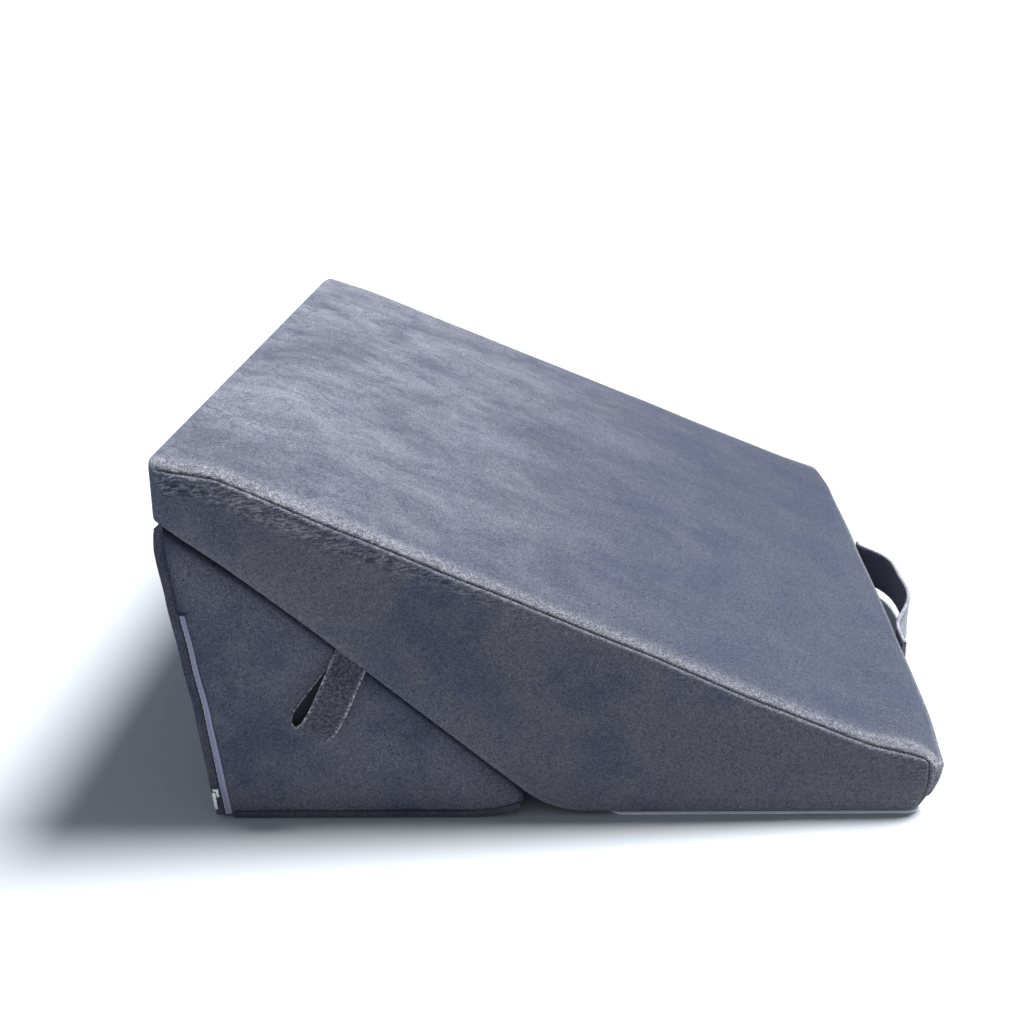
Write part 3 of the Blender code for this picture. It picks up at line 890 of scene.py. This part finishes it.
wedge_back = table_curve(
    # (height, lean of the back panel)
    (
        (0.000, 0.001),
        (0.040, 0.002),
        (0.100, 0.003),
        (0.150, 0.006),
        (0.200, 0.009),
        (0.240, 0.011),
        (0.265, 0.008),
    )
)


def wedge_bottom(x):
    return TIP_LIFT * np.clip((x - LIFT_START) / (WEDGE_TIP_X - LIFT_START), 0.0, 1.0) ** 2


def wedge_top(x):
    return underside_line(np.maximum(x, 0.0)) - 1.5 * GAP


def wedge_side(x, z):
    low, high = wedge_bottom(x), wedge_top(x)
    along = hump((x + 0.01) / (WEDGE_TIP_X + 0.01)) ** 0.5
    return WEDGE_HALF + WEDGE_CROWN * hump((z - low) / (high - low)) * along


# %% Cover of the wedge
WEDGE_COLUMNS = 110
WEDGE_RIBS = 40
WEDGE_ROWS = 90


def make_wedge_cover():
    columns = stations(WEDGE_EDGE, WEDGE_EDGE, EDGE_TURNS // 2, np.linspace(0, 1, WEDGE_COLUMNS))
    ribs = stations(WEDGE_EDGE, WEDGE_EDGE, EDGE_TURNS // 2, crowded(WEDGE_RIBS))
    rows = stations(WEDGE_ROUND, WEDGE_ROUND, EDGE_TURNS // 2, np.linspace(0, 1, WEDGE_ROWS))
    i, j, k, sides = box_surface(len(columns[0]), len(ribs[0]), len(rows[0]))
    past = np.stack([columns[2][i], ribs[2][j], rows[2][k]])
    length = np.maximum(np.linalg.norm(past, axis=0), 1.0)
    inner_x = WEDGE_EDGE + columns[0][i] * (WEDGE_TIP_X - 2 * WEDGE_EDGE)
    inner_y = -WEDGE_HALF + WEDGE_EDGE + ribs[0][j] * 2 * (WEDGE_HALF - WEDGE_EDGE)
    x = inner_x + past[0] / length * WEDGE_EDGE
    y = inner_y + past[1] / length * WEDGE_EDGE
    flat_x = inner_x + columns[1][i]
    low, high = wedge_bottom(flat_x), wedge_top(flat_x)
    inner_z = low + WEDGE_ROUND + rows[0][k] * (high - low - 2 * WEDGE_ROUND)
    z = inner_z + past[2] / length * WEDGE_ROUND
    share = np.clip(np.abs(y) / WEDGE_HALF, 0, 1) ** 15
    y = y + np.sign(y) * (wedge_side(x, z) - WEDGE_HALF) * share
    x = x - wedge_back(z) * (1 - x / WEDGE_TIP_X) ** 6
    points = np.stack([x, y, z], -1)
    quads = np.concatenate(list(sides.values()))
    normals = vertex_normals(points, quads)
    on_side = smooth(WEDGE_HALF - 0.012, WEDGE_HALF - 0.002, np.abs(y))
    inside = hump((z - low) / (high - low)) ** 0.7 * hump((x + 0.012) / (WEDGE_TIP_X + 0.012)) ** 0.5
    folds = 0.0011 * ripple(np.stack([x * 1.0, y * 0.2, z * 0.28], -1), 0.034, 21)
    dents = 0.0006 * ripple(np.stack([x, y * 0.4, z], -1), 0.05, 22)
    points = points + normals * ((folds + dents) * inside * on_side * 0.9)[:, None]
    cover = new_piece("wedge_cover", points, quads, (velvet_wedge,))
    paint(cover, "brushed_and_sheen", np.full(len(points), 0.25))
    # Painted shade on the wedge just under the cushion's edge.
    below = np.exp(-np.maximum(high - z, 0.0) / 0.012) * on_side
    paint(cover, "painted_shade", 0.75 * below)
    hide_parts("lower_wedge")
    print("wedge cover", len(points), "points")
    return cover


wedge_cover = make_wedge_cover()

# %% [markdown]
# Every strap, tape and binding is a flat band that follows a path. One helper sweeps a thin
# section with round edges along the path's points, and stores how far each point lies along and
# across the band, so that a weave can follow its bends.

# %% Bands


def smooth_path(points, count):
    """Evenly spaced points on a smooth curve through the given ones."""
    points = np.asarray(points, float)
    steps = np.linalg.norm(np.diff(points, axis=0), axis=1)
    knots = np.concatenate([[0.0], np.cumsum(steps)])
    slopes = np.gradient(points, knots, axis=0)
    places = np.linspace(0.0, knots[-1], count)
    index = np.clip(np.searchsorted(knots, places, side="right") - 1, 0, len(knots) - 2)
    span = (knots[index + 1] - knots[index])[:, None]
    t = ((places - knots[index]) / span[:, 0])[:, None]
    start, end = points[index], points[index + 1]
    return (
        (2 * t**3 - 3 * t**2 + 1) * start
        + (t**3 - 2 * t**2 + t) * span * slopes[index]
        + (3 * t**2 - 2 * t**3) * end
        + (t**3 - t**2) * span * slopes[index + 1]
    )


def band_section(steps, thickness, width):
    """(across, out) points round a flat band: across from -1 to 1, out from -1 to 1."""
    rim = min(0.5 * thickness / width, 0.4) * 2
    face = np.linspace(-1 + rim, 1 - rim, steps)
    front = [(u, 1.0) for u in face]
    right = [(1 - 0.35 * rim, 0.75), (1.0, 0.0), (1 - 0.35 * rim, -0.75)]
    behind = [(u, -1.0) for u in face[::-1]]
    left = [(-u, v) for u, v in right[::-1]]
    return np.array(front + right + behind + [(u, v) for u, v in left])


def make_band(name, middles, across, width, thickness, materials, steps=7, body=None, inside=None):
    """A closed band. Its second material, if any, is on the face that looks against its normal,
    between the stations where inside is true."""
    middles = np.asarray(middles)
    across = unit(np.broadcast_to(np.asarray(across, float), middles.shape))
    forward = unit(np.gradient(middles, axis=0))
    normal = unit(np.cross(across, forward))
    section = band_section(steps, thickness, width)
    count, sides = len(middles), len(section)
    u = section[:, 0][None, :, None] * width / 2
    v = section[:, 1][None, :, None] * thickness / 2
    points = middles[:, None] + across[:, None] * u + normal[:, None] * v
    if body is not None:
        points = body(points, section)
    index = np.arange(count * sides).reshape(count, sides)
    after = np.roll(index, -1, axis=1)
    quads = np.stack([index[:-1], after[:-1], after[1:], index[1:]], -1).reshape(-1, 4)
    faces = quads.tolist() + [index[0][::-1].tolist(), index[-1].tolist()]
    behind = (section[:, 1] + np.roll(section[:, 1], -1) < -1.9).astype(int)
    behind = np.tile(behind, (count - 1, 1))
    if inside is not None:
        behind[~inside[:-1]] = 0
    behind = behind.reshape(-1)
    slots = np.concatenate([behind, [0, 0]]) if len(materials) > 1 else None
    data = bpy.data.meshes.new(name)
    data.from_pydata((points.reshape(-1, 3) + OFFSET).tolist(), [], faces)
    for finish in materials:
        data.materials.append(finish)
    if slots is not None:
        data.polygons.foreach_set("material_index", slots.astype(np.int32))
    data.shade_smooth()
    data.set_sharp_from_angle(angle=math.radians(55))
    steps_along = np.linalg.norm(np.diff(middles, axis=0), axis=1)
    along = np.concatenate([[0.0], np.cumsum(steps_along)])
    place = np.zeros((count, sides, 3), np.float32)
    place[..., 0] = along[:, None]
    place[..., 1] = section[:, 0][None] * width / 2
    layer = data.attributes.new("band_place", "FLOAT_VECTOR", "POINT")
    layer.data.foreach_set("vector", place.reshape(-1))
    obj = bpy.data.objects.new(name, data)
    scene.collection.objects.link(obj)
    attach(obj, "root")
    return obj, along[-1]


# %% [markdown]
# The thin trims are woven: flat webbing for the straps, a tight tape beside the zip and a plain
# pale cloth under the cushion. One group crosses two sets of threads, from how far along and
# across the band a point lies.

# %% Woven cloths


def make_weave_group():
    group, start, end = new_group(
        "crossed_threads",
        {"Vector": (VECTOR, None), "Threads": (NUMBER, 900.0), "Slant": (NUMBER, 0.0)},
        {"Height": NUMBER, "Shade": NUMBER},
    )
    parts = add_node(group, "ShaderNodeSeparateXYZ", Vector=start.outputs["Vector"])
    threads = start.outputs["Threads"]
    slanted = arithmetic(group, "MULTIPLY", parts.outputs["Y"], start.outputs["Slant"])
    along = arithmetic(group, "ADD", parts.outputs["X"], slanted)
    along = arithmetic(group, "MULTIPLY", along, threads)
    across = arithmetic(group, "MULTIPLY", parts.outputs["Y"], threads)
    warp = arithmetic(group, "ABSOLUTE", arithmetic(group, "SINE", along))
    weft = arithmetic(group, "ABSOLUTE", arithmetic(group, "SINE", across))
    height = arithmetic(group, "MULTIPLY", warp, weft)
    group.links.new(height, end.inputs["Height"])
    fuzz = add_node(group, "ShaderNodeTexNoise", Vector=start.outputs["Vector"], Scale=700.0)
    shade = arithmetic(group, "MULTIPLY", height, fuzz.outputs[0])
    group.links.new(shade, end.inputs["Shade"])
    return group


crossed_threads = make_weave_group()


def woven(
    name, base, pale, threads, slant=0.0, bump=0.6, rough=0.8, source="band_place", sheen=0.05,
    speckle=0.0, edge=None,
):
    """Crossed threads in two colours. edge is (half width, colour, amount) of a paler line along both edges
    of the band.
    """
    made = bpy.data.materials.new(name)
    made.use_nodes = True
    tree = made.node_tree
    shader = tree.nodes["Principled BSDF"]
    if source:
        place = add_node(tree, "ShaderNodeAttribute", {"attribute_name": source}).outputs["Vector"]
    else:
        place = add_node(tree, "ShaderNodeTexCoord").outputs["Object"]
    weave = place_group(tree, crossed_threads, Vector=place, Threads=threads, Slant=slant)
    wear = add_node(tree, "ShaderNodeTexNoise", Vector=place, Scale=60.0, Detail=3.0).outputs[0]
    amount = arithmetic(tree, "MULTIPLY", weave.outputs["Shade"], 1.3)
    amount = arithmetic(tree, "MULTIPLY", amount, arithmetic(tree, "ADD", wear, 0.35))
    colour = mix_colours(tree, amount, (*base, 1.0), (*pale, 1.0))
    crumb = add_node(tree, "ShaderNodeTexNoise", Vector=place, Scale=420.0, Detail=3.0, Roughness=0.7)
    crumb = ramp(tree, crumb.outputs[0], ((0.38, 0.0), (0.62, 1.0)))
    if edge is not None:
        half_width, edge_colour, edge_amount = edge
        across = add_node(tree, "ShaderNodeSeparateXYZ", Vector=place).outputs["Y"]
        across = arithmetic(tree, "DIVIDE", arithmetic(tree, "ABSOLUTE", across), half_width)
        edge_paleness = ramp(tree, across, ((0.84, 0.0), (0.93, edge_amount)))
        edge_paleness = arithmetic(tree, "MULTIPLY", edge_paleness, arithmetic(tree, "ADD", crumb, 0.4))
        colour = mix_colours(tree, edge_paleness, colour, (*edge_colour, 1.0))
    if speckle > 0:
        shade = arithmetic(tree, "MULTIPLY", arithmetic(tree, "SUBTRACT", crumb, 0.5), speckle)
        shade = arithmetic(tree, "ADD", shade, 1.0)
        grey = add_node(tree, "ShaderNodeCombineColor", Red=shade, Green=shade, Blue=shade).outputs[0]
        colour = mix_colours(tree, 1.0, colour, grey, "MULTIPLY")
    tree.links.new(colour, shader.inputs["Base Color"])
    shader.inputs["Roughness"].default_value = rough
    shader.inputs["Specular IOR Level"].default_value = 0.2
    shader.inputs["Sheen Weight"].default_value = sheen
    relief = add_node(
        tree, "ShaderNodeBump", Strength=bump, Distance=0.0004, Height=weave.outputs["Height"]
    )
    tree.links.new(relief.outputs[0], shader.inputs["Normal"])
    return made


PALE_EDGE = (0.24, 0.245, 0.28)
webbing = woven(
    "webbing", (0.040, 0.042, 0.056), (0.12, 0.125, 0.155), 2400.0, slant=0.6, speckle=1.3,
    edge=(0.014, PALE_EDGE, 0.75),
)
# loop_inner_shade is near black: painted shade for the deep shadow inside the folded loop.
loop_inner_shade = woven("loop_inner_shade", (0.010, 0.010, 0.015), (0.025, 0.026, 0.036), 2400.0, slant=0.6)
# strap_inner is darker and soft_strap paler partly as painted light: the outer face takes the light and the
# inner face lies in shade.
strap_inner = woven(
    "strap_inner", (0.066, 0.073, 0.112), (0.15, 0.16, 0.22), 2400.0, slant=0.6, speckle=0.7,
    edge=(0.020, PALE_EDGE, 0.5),
)
soft_strap = woven(
    "soft_strap", (0.13, 0.135, 0.165), (0.30, 0.31, 0.36), 1500.0, slant=0.4, bump=0.3, speckle=0.8,
)
zip_weave = woven("zip_weave", (0.22, 0.22, 0.34), (0.50, 0.50, 0.68), 3200.0, bump=0.5)
# base_weave is pale partly as the cloth's own colour and partly as a painted highlight on the rolled edge.
base_weave = woven("base_weave", (0.46, 0.47, 0.52), (0.78, 0.79, 0.84), 1800.0, source="")
print("cloths ready")

# %% [markdown]
# Under the low half lies a thin flat panel of plain pale cloth, joined to the cover by a rolled edge. Only
# the roll shows, as a light line above the bed; its pale colour is partly the cloth's own and partly a
# painted highlight on the roll. The panel keeps the solid's outline, with more turns at its corners and a
# rounder rim.

# %% Base panel
BASE_START = 0.320
BASE_END = 0.563
BASE_HALF_WIDTH = 0.3045
BASE_CORNER = 0.012
CORNER_STEPS = 8
RIM_STEPS = 8


def make_base_cloth():
    middle_x = (BASE_START + BASE_END) / 2
    half_x = (BASE_END - BASE_START) / 2
    outline = []
    for turn, side_x, side_y in ((0, 1, 1), (1, -1, 1), (2, -1, -1), (3, 1, -1)):
        for angle in np.linspace(turn, turn + 1, CORNER_STEPS) * math.pi / 2:
            corner_x = middle_x + side_x * (half_x - BASE_CORNER)
            corner_y = side_y * (BASE_HALF_WIDTH - BASE_CORNER)
            outline.append((corner_x, corner_y, math.cos(angle), math.sin(angle)))
    outline = np.array(outline)
    rim = BASE_THICKNESS / 2
    rings = []
    for lean in np.linspace(-math.pi / 2, math.pi / 2, RIM_STEPS):
        reach = BASE_CORNER - rim + rim * math.cos(lean)
        ring = np.zeros((len(outline), 3))
        ring[:, :2] = outline[:, :2] + outline[:, 2:] * reach
        ring[:, 2] = rim + rim * math.sin(lean)
        rings.append(ring)
    points = np.concatenate(rings)
    index = np.arange(len(points)).reshape(RIM_STEPS, -1)
    after = np.roll(index, -1, axis=1)
    quads = np.stack([index[:-1], after[:-1], after[1:], index[1:]], -1).reshape(-1, 4)
    faces = quads.tolist() + [index[0][::-1].tolist(), index[-1].tolist()]
    data = bpy.data.meshes.new("base_cloth")
    data.from_pydata((points + OFFSET).tolist(), [], faces)
    data.materials.append(base_weave)
    data.shade_smooth()
    data.set_sharp_from_angle(angle=math.radians(50))
    cloth = bpy.data.objects.new("base_cloth", data)
    scene.collection.objects.link(cloth)
    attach(cloth, "root")
    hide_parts("base_panel")
    print("base cloth", len(points), "points")


make_base_cloth()

# %% [markdown]
# The wedge's bottom seams are bound with a narrow folded strip of plush, darker partly as painted shade at
# the foot of the wedge, and a strip of the same cloth is the hinge that joins the wedge to the cushion.

# %% Bindings and hinge
BINDING_HEIGHT = 0.006
BINDING_THICKNESS = 0.0018
BINDING_START = 0.014
HINGE_START = 0.2528
HINGE_END = 0.2650
HINGE_HALF_WIDTH = 0.292
HINGE_THICKNESS = 0.0016
HINGE_SAG = 0.0009


def make_binding(name, side):
    x = np.linspace(BINDING_START, WEDGE_TIP_X - 0.002, 110)
    foot = wedge_bottom(x) + GAP
    middle_z = foot + BINDING_HEIGHT / 2
    face = np.maximum(wedge_side(x, foot), wedge_side(x, foot + BINDING_HEIGHT)) + GAP
    middles = np.stack([x, side * (face + BINDING_THICKNESS / 2), middle_z], -1)

    def belly(points, section):
        swell = BINDING_THICKNESS * 0.25 * (1 - section[:, 0] ** 2) * (section[:, 1] > 0.5)
        puckers = 0.00012 * np.sin(2 * math.pi * x / 0.0031)[:, None] * (section[:, 1] > 0.5)
        points = points.copy()
        points[..., 1] += side * (swell[None] + puckers)
        return points

    band, length = make_band(
        name, middles, (0.0, 0.0, side), BINDING_HEIGHT, BINDING_THICKNESS, (velvet_trim,), body=belly
    )
    paint(band, "brushed_and_sheen", np.full(len(band.data.vertices), 0.3))
    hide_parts(name.replace("bound_seam", "wedge_binding"))
    print(name, round(length, 3), "m")


make_binding("bound_seam_near", -1)
make_binding("bound_seam_far", 1)


def make_hinge():
    share = np.linspace(0.0, 1.0, 13)
    x = HINGE_START + (HINGE_END - HINGE_START) * share
    tip = np.array(WEDGE_TIP_X)
    start = (wedge_bottom(tip) + wedge_top(tip)) / 2
    end = cushion_bottom(np.array(HINGE_END)) - GAP - HINGE_THICKNESS
    z = start + (end - start) * share - HINGE_SAG * hump(share) + HINGE_THICKNESS / 2
    middles = np.stack([x, np.zeros_like(x), z], -1)
    band, length = make_band(
        "hinge_cloth", middles, (0, 1, 0), 2 * HINGE_HALF_WIDTH, HINGE_THICKNESS, (velvet_trim,), 90
    )
    paint(band, "brushed_and_sheen", np.full(len(band.data.vertices), 0.2))
    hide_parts("hinge_strip")
    print("hinge cloth", round(length, 4), "m long")


make_hinge()

# %% [markdown]
# The zip stands at the back corner of the near side. The back panel folds over it as a facing, painted dark
# as the shade of a fold that turns away from the light; its woven tape runs beside the fold with the nylon
# teeth on top, and a slider waits near the foot with its pull hanging down.

# %% Zip facing, tape and teeth
FACING_WIDTH = 0.0075
FACING_THICKNESS = 0.0022
FACING_TOP = 0.2655
FACING_FOOT = 0.004
TAPE_WIDTH = 0.0055
TAPE_THICKNESS = 0.0010
TAPE_TOP = 0.187
COIL_WIDTH = 0.0016
COIL_THICKNESS = 0.0010
TOOTH_PITCH = 0.0016
COIL_WIRE = 0.00022


def zip_edge(z):
    return FACING_WIDTH - wedge_back(z)


def upright_middles(foot, head, left, width, base, thickness, count=120):
    z = np.linspace(foot, head, count)
    start = left(z)
    face = np.maximum(wedge_side(start, z), wedge_side(start + width, z)) + base
    return np.stack([start + width / 2, -(face + thickness / 2), z], -1)


def make_zip_bands():
    middles = upright_middles(
        FACING_FOOT, FACING_TOP, lambda z: zip_edge(z) - FACING_WIDTH, FACING_WIDTH, GAP, FACING_THICKNESS
    )
    z = middles[:, 2]

    def roll(points, section):
        shape = (section[:, 1] > 0.5) * (1 - section[:, 0] ** 2)
        waver = 0.0002 * np.sin(2 * math.pi * z / 0.0052)[:, None] * (section[:, 0] > 0.3)
        points = points.copy()
        points[..., 1] -= 0.0003 * shape[None] + waver * shape[None]
        near_top = smooth(FACING_TOP - 0.010, FACING_TOP, z)[:, None]
        points[..., 2] -= 0.0055 * near_top * (1 - section[:, 0][None]) / 2
        return points

    facing, _ = make_band(
        "zip_fold", middles, (1, 0, 0), FACING_WIDTH, FACING_THICKNESS, (velvet_trim,), body=roll
    )
    paint(facing, "brushed_and_sheen", np.full(len(facing.data.vertices), 0.3))
    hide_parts("zip_facing")
    middles = upright_middles(
        FACING_FOOT, TAPE_TOP, lambda z: zip_edge(z) + GAP, TAPE_WIDTH, GAP, TAPE_THICKNESS
    )
    narrow = 1 - 0.28 * smooth(0.02, 0.18, middles[:, 2])
    left_edge = middles[:, 0] - TAPE_WIDTH / 2

    def taper(points, section):
        points = points.copy()
        points[..., 0] = left_edge[:, None] + (points[..., 0] - left_edge[:, None]) * narrow[:, None]
        return points

    tape, _ = make_band(
        "zip_band", middles, (1, 0, 0), TAPE_WIDTH, TAPE_THICKNESS, (zip_weave,), body=taper
    )
    z = np.linspace(FACING_FOOT, TAPE_TOP, 160)
    x = zip_edge(z) + GAP + 0.0005
    line = np.stack([x, -(wedge_side(x, z) + GAP + TAPE_THICKNESS), z], -1)
    out = np.tile((0.0, -1.0, 0.0), (len(z), 1))
    make_stitches(
        "tape_stitches", line, out, white_thread, 0.0050, 0.0044, 0.00042, 0.0001
    )
    z = np.linspace(TAPE_TOP + 0.002, FACING_TOP - 0.004, 90)
    x = zip_edge(z) - 0.0010
    line = np.stack([x, -(wedge_side(x, z) + GAP + FACING_THICKNESS), z], -1)
    out = np.tile((0.0, -1.0, 0.0), (len(z), 1))
    make_stitches(
        "facing_stitches", line, out, dark_thread, 0.0032, 0.0022, 0.00034, 0.0001
    )
    x = np.linspace(-0.0012, 0.0062, 12) + float(zip_edge(np.array(TAPE_TOP)))
    z = np.full_like(x, TAPE_TOP + 0.0012)
    line = np.stack([x, -(wedge_side(x, z) + GAP + 0.0012), z], -1)
    tack, _ = make_band("bar_tack", line, (0, 0, 1), 0.0014, 0.0010, (dark_thread,))
    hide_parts("zip_tape")


make_zip_bands()

# %% [markdown]
# The zip is a coil zip: one nylon thread wound into a flat spring and sewn along the tape. It is
# swept here as one long squashed helix, which reads as fine teeth from close by.


# %% Zip coil
def make_coil():
    foot, head = FACING_FOOT + 0.002, TAPE_TOP - 0.002
    turns = (head - foot) / TOOTH_PITCH
    count = int(turns * 10)
    z = np.linspace(foot, head, count)
    angle = 2 * math.pi * (z - foot) / TOOTH_PITCH
    left = zip_edge(z) + 0.0012
    face = np.maximum(wedge_side(left, z), wedge_side(left + COIL_WIDTH, z)) + 2 * GAP + TAPE_THICKNESS
    x = left + COIL_WIDTH / 2 + np.cos(angle) * (COIL_WIDTH / 2 - COIL_WIRE)
    y = -(face + COIL_THICKNESS / 2 + np.sin(angle) * (COIL_THICKNESS / 2 - COIL_WIRE))
    middles = np.stack([x, y, z], -1)
    forward = unit(np.gradient(middles, axis=0))
    side = unit(np.cross(forward, np.array((0.0, 0.0, 1.0))))
    up = np.cross(side, forward)
    ring = np.linspace(0, 2 * math.pi, 5, endpoint=False)
    points = (
        middles[:, None]
        + side[:, None] * (np.cos(ring) * COIL_WIRE)[None, :, None]
        + up[:, None] * (np.sin(ring) * COIL_WIRE)[None, :, None]
    )
    index = np.arange(count * 5).reshape(count, 5)
    after = np.roll(index, -1, axis=1)
    quads = np.stack([index[:-1], after[:-1], after[1:], index[1:]], -1).reshape(-1, 4)
    coil = new_piece("zip_teeth", points.reshape(-1, 3), quads, (nylon,))
    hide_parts("zip_coil")
    print("zip coil", int(turns), "turns")


def plain_finish(name, base, other, rough, metallic, scale):
    """A smooth hard finish with faint cloudy wear."""
    made = bpy.data.materials.new(name)
    made.use_nodes = True
    tree = made.node_tree
    shader = tree.nodes["Principled BSDF"]
    place = add_node(tree, "ShaderNodeTexCoord").outputs["Object"]
    cloud = add_node(tree, "ShaderNodeTexNoise", Vector=place, Scale=scale, Detail=3.0).outputs[0]
    tree.links.new(mix_colours(tree, cloud, (*base, 1.0), (*other, 1.0)), shader.inputs["Base Color"])
    tree.links.new(
        arithmetic(tree, "ADD", arithmetic(tree, "MULTIPLY", cloud, 0.2), rough), shader.inputs["Roughness"]
    )
    shader.inputs["Metallic"].default_value = metallic
    return made


nylon = plain_finish("zip_nylon_coil", (0.30, 0.30, 0.38), (0.48, 0.48, 0.58), 0.35, 0.0, 300.0)
bright_metal = plain_finish("bright_metal", (0.70, 0.70, 0.72), (0.86, 0.86, 0.87), 0.15, 1.0, 500.0)
make_coil()
for metal_node in ("zip_slider", "zip_pull"):
    bpy.data.objects[metal_node].data.materials.clear()
    bpy.data.objects[metal_node].data.materials.append(bright_metal)

# %% [markdown]
# The side loop is webbing folded in two and caught in the seam under the cushion. Its route follows the
# solid's, read as a smooth curve that starts and ends under the cushion's edge. Its inner face is painted
# near black as the shadow inside the fold.

# %% Side loop
LOOP_WIDTH = 0.028
LOOP_THICKNESS = 0.0018
LOOP_STITCH_INSET = 0.0026
LOOP_HEM_INSET = 0.002
LOOP_HEM_POINTS = 24
LOOP_TOP = np.array((0.1263, 0.0, 0.1419))
LOOP_DOWN = np.array((-0.458, 0.0, -0.889))
LOOP_ROUTE = (
    # (down the strap, out from the wedge, sideways)
    (-0.0110, -0.0050, 0.0000),
    (-0.0040, -0.0016, 0.0000),
    (0.0040, 0.0006, -0.0005),
    (0.0160, 0.0010, -0.0025),
    (0.0340, 0.0010, -0.0065),
    (0.0500, 0.0011, -0.0100),
    (0.0590, 0.0015, -0.0112),
    (0.0640, 0.0030, -0.0104),
    (0.0660, 0.0058, -0.0082),
    (0.0650, 0.0086, -0.0055),
    (0.0600, 0.0106, -0.0028),
    (0.0490, 0.0113, -0.0008),
    (0.0340, 0.0110, 0.0000),
    (0.0180, 0.0080, 0.0000),
    (0.0060, 0.0034, 0.0000),
    (-0.0030, 0.0008, 0.0000),
    (-0.0110, -0.0022, 0.0000),
)


def make_side_loop():
    down = unit(LOOP_DOWN)
    across = np.array((-down[2], 0.0, down[0]))
    side = across * (LOOP_WIDTH / 2)
    knots = []
    for reach, lift, sideways in LOOP_ROUTE:
        flat = LOOP_TOP + down * reach + across * sideways
        face = max(float(wedge_side(place[0], place[2])) for place in (flat - side, flat, flat + side))
        knots.append(flat + np.array((0.0, -1.0, 0.0)) * (face + GAP + lift))
    middles = smooth_path(knots, 110)
    band, length = make_band(
        "side_strap", middles, across, LOOP_WIDTH, LOOP_THICKNESS, (webbing, loop_inner_shade), 13
    )
    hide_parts("side_loop")
    print("side strap", round(length, 4), "m long")
    forward = unit(np.gradient(middles, axis=0))
    out = unit(np.cross(across, forward))
    if out[90, 1] > 0:
        out = -out
    fold = int(np.argmin(middles[:, 2]))
    front = np.arange(fold + 4, len(middles) - 6)
    for edge, shift in (("left", -1), ("right", 1)):
        line = middles + out * (LOOP_THICKNESS / 2) + across * shift * (LOOP_WIDTH / 2 - LOOP_STITCH_INSET)
        make_stitches(
            "loop_stitches_" + edge, line[front], out[front], grey_thread, 0.0034, 0.0024, 0.00030,
            0.0001,
        )
    share = np.linspace(-1, 1, LOOP_HEM_POINTS)[:, None]
    for row, at in (("low", fold + 4), ("high", fold + 6)):
        line = middles[at] + out[at] * (LOOP_THICKNESS / 2)
        line = line + across * share * (LOOP_WIDTH / 2 - LOOP_HEM_INSET)
        make_stitches(
            "loop_hem_" + row, line, np.tile(out[at], (LOOP_HEM_POINTS, 1)), grey_thread, 0.0030,
            0.0021, 0.00030, 0.0001,
        )


make_side_loop()

# %% [markdown]
# The carrying strap is sewn to the low end at both feet and bows out between them. Its outer face is a soft
# pale cloth and its inner face is bluish webbing; the outer face is paler and the inner darker partly as
# painted light, for the outer face takes the light and the inner one lies in shade.

# %% Carrying strap
HANDLE_MIDDLE_Y = 0.018
HANDLE_HALF_SPAN = 0.106
HANDLE_FAR_SPAN = 0.086
HANDLE_FULLNESS = 2.5
HANDLE_FAR_FULLNESS = 4.0
HANDLE_FOOT = 0.024
HANDLE_WIDTH = 0.040
HANDLE_HEIGHT = 0.0262
HANDLE_THICKNESS = 0.0030
HANDLE_BOW = 0.0255
HANDLE_STITCH_INSET = 0.0042


def make_handle():
    start = HANDLE_MIDDLE_Y - HANDLE_HALF_SPAN - HANDLE_FOOT
    stop = HANDLE_MIDDLE_Y + HANDLE_FAR_SPAN + 0.004
    y = np.linspace(start, stop, 130)
    half_span = np.where(y > HANDLE_MIDDLE_Y, HANDLE_FAR_SPAN, HANDLE_HALF_SPAN)
    share = np.clip(np.abs(y - HANDLE_MIDDLE_Y) / half_span, 0.0, 1.0)
    fullness = np.where(y > HANDLE_MIDDLE_Y, HANDLE_FAR_FULLNESS, HANDLE_FULLNESS)
    bow = HANDLE_BOW * (1 - share**fullness) ** 2
    x = cushion_end(y) + GAP + bow + HANDLE_THICKNESS / 2
    middles = np.stack([x, y, np.full_like(y, HANDLE_HEIGHT)], -1)

    def soften(points, section):
        points = points.copy()
        rim = 0.0007 * np.abs(section[:, 0]) ** 6 * np.sign(section[:, 1])
        points[..., 0] += rim[None] * (np.abs(section[:, 1]) > 0.9)
        wave = 0.0011 * np.sin(y * 62.0)[:, None] * section[:, 0][None] * smooth(0, 0.004, bow)[:, None]
        points[..., 0] += wave
        return points

    band, length = make_band(
        "end_strap", middles, (0, 0, -1), HANDLE_WIDTH, HANDLE_THICKNESS, (soft_strap, strap_inner),
        17, soften, bow > 0.001,
    )
    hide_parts("end_handle")
    print("end strap", round(length, 4), "m long")
    forward = unit(np.gradient(middles, axis=0))
    outward = unit(np.cross((0.0, 0.0, -1.0), forward))
    if outward[60, 0] < 0:
        outward = -outward
    for face, sign in (("outer", 1), ("inner", -1)):
        for edge, rise in (("top", 1), ("bottom", -1)):
            line = middles + outward * sign * (HANDLE_THICKNESS / 2 + 0.0001)
            line = line + np.array((0.0, 0.0, rise * (HANDLE_WIDTH / 2 - HANDLE_STITCH_INSET)))
            chosen = (bow > 0.0022) if sign < 0 else (y > -1)
            make_stitches(
                f"strap_stitches_{face}_{edge}", line[chosen], (outward * sign)[chosen],
                grey_thread if sign < 0 else dark_thread, 0.0036, 0.0026, 0.00028, 0.0001,
            )


make_handle()
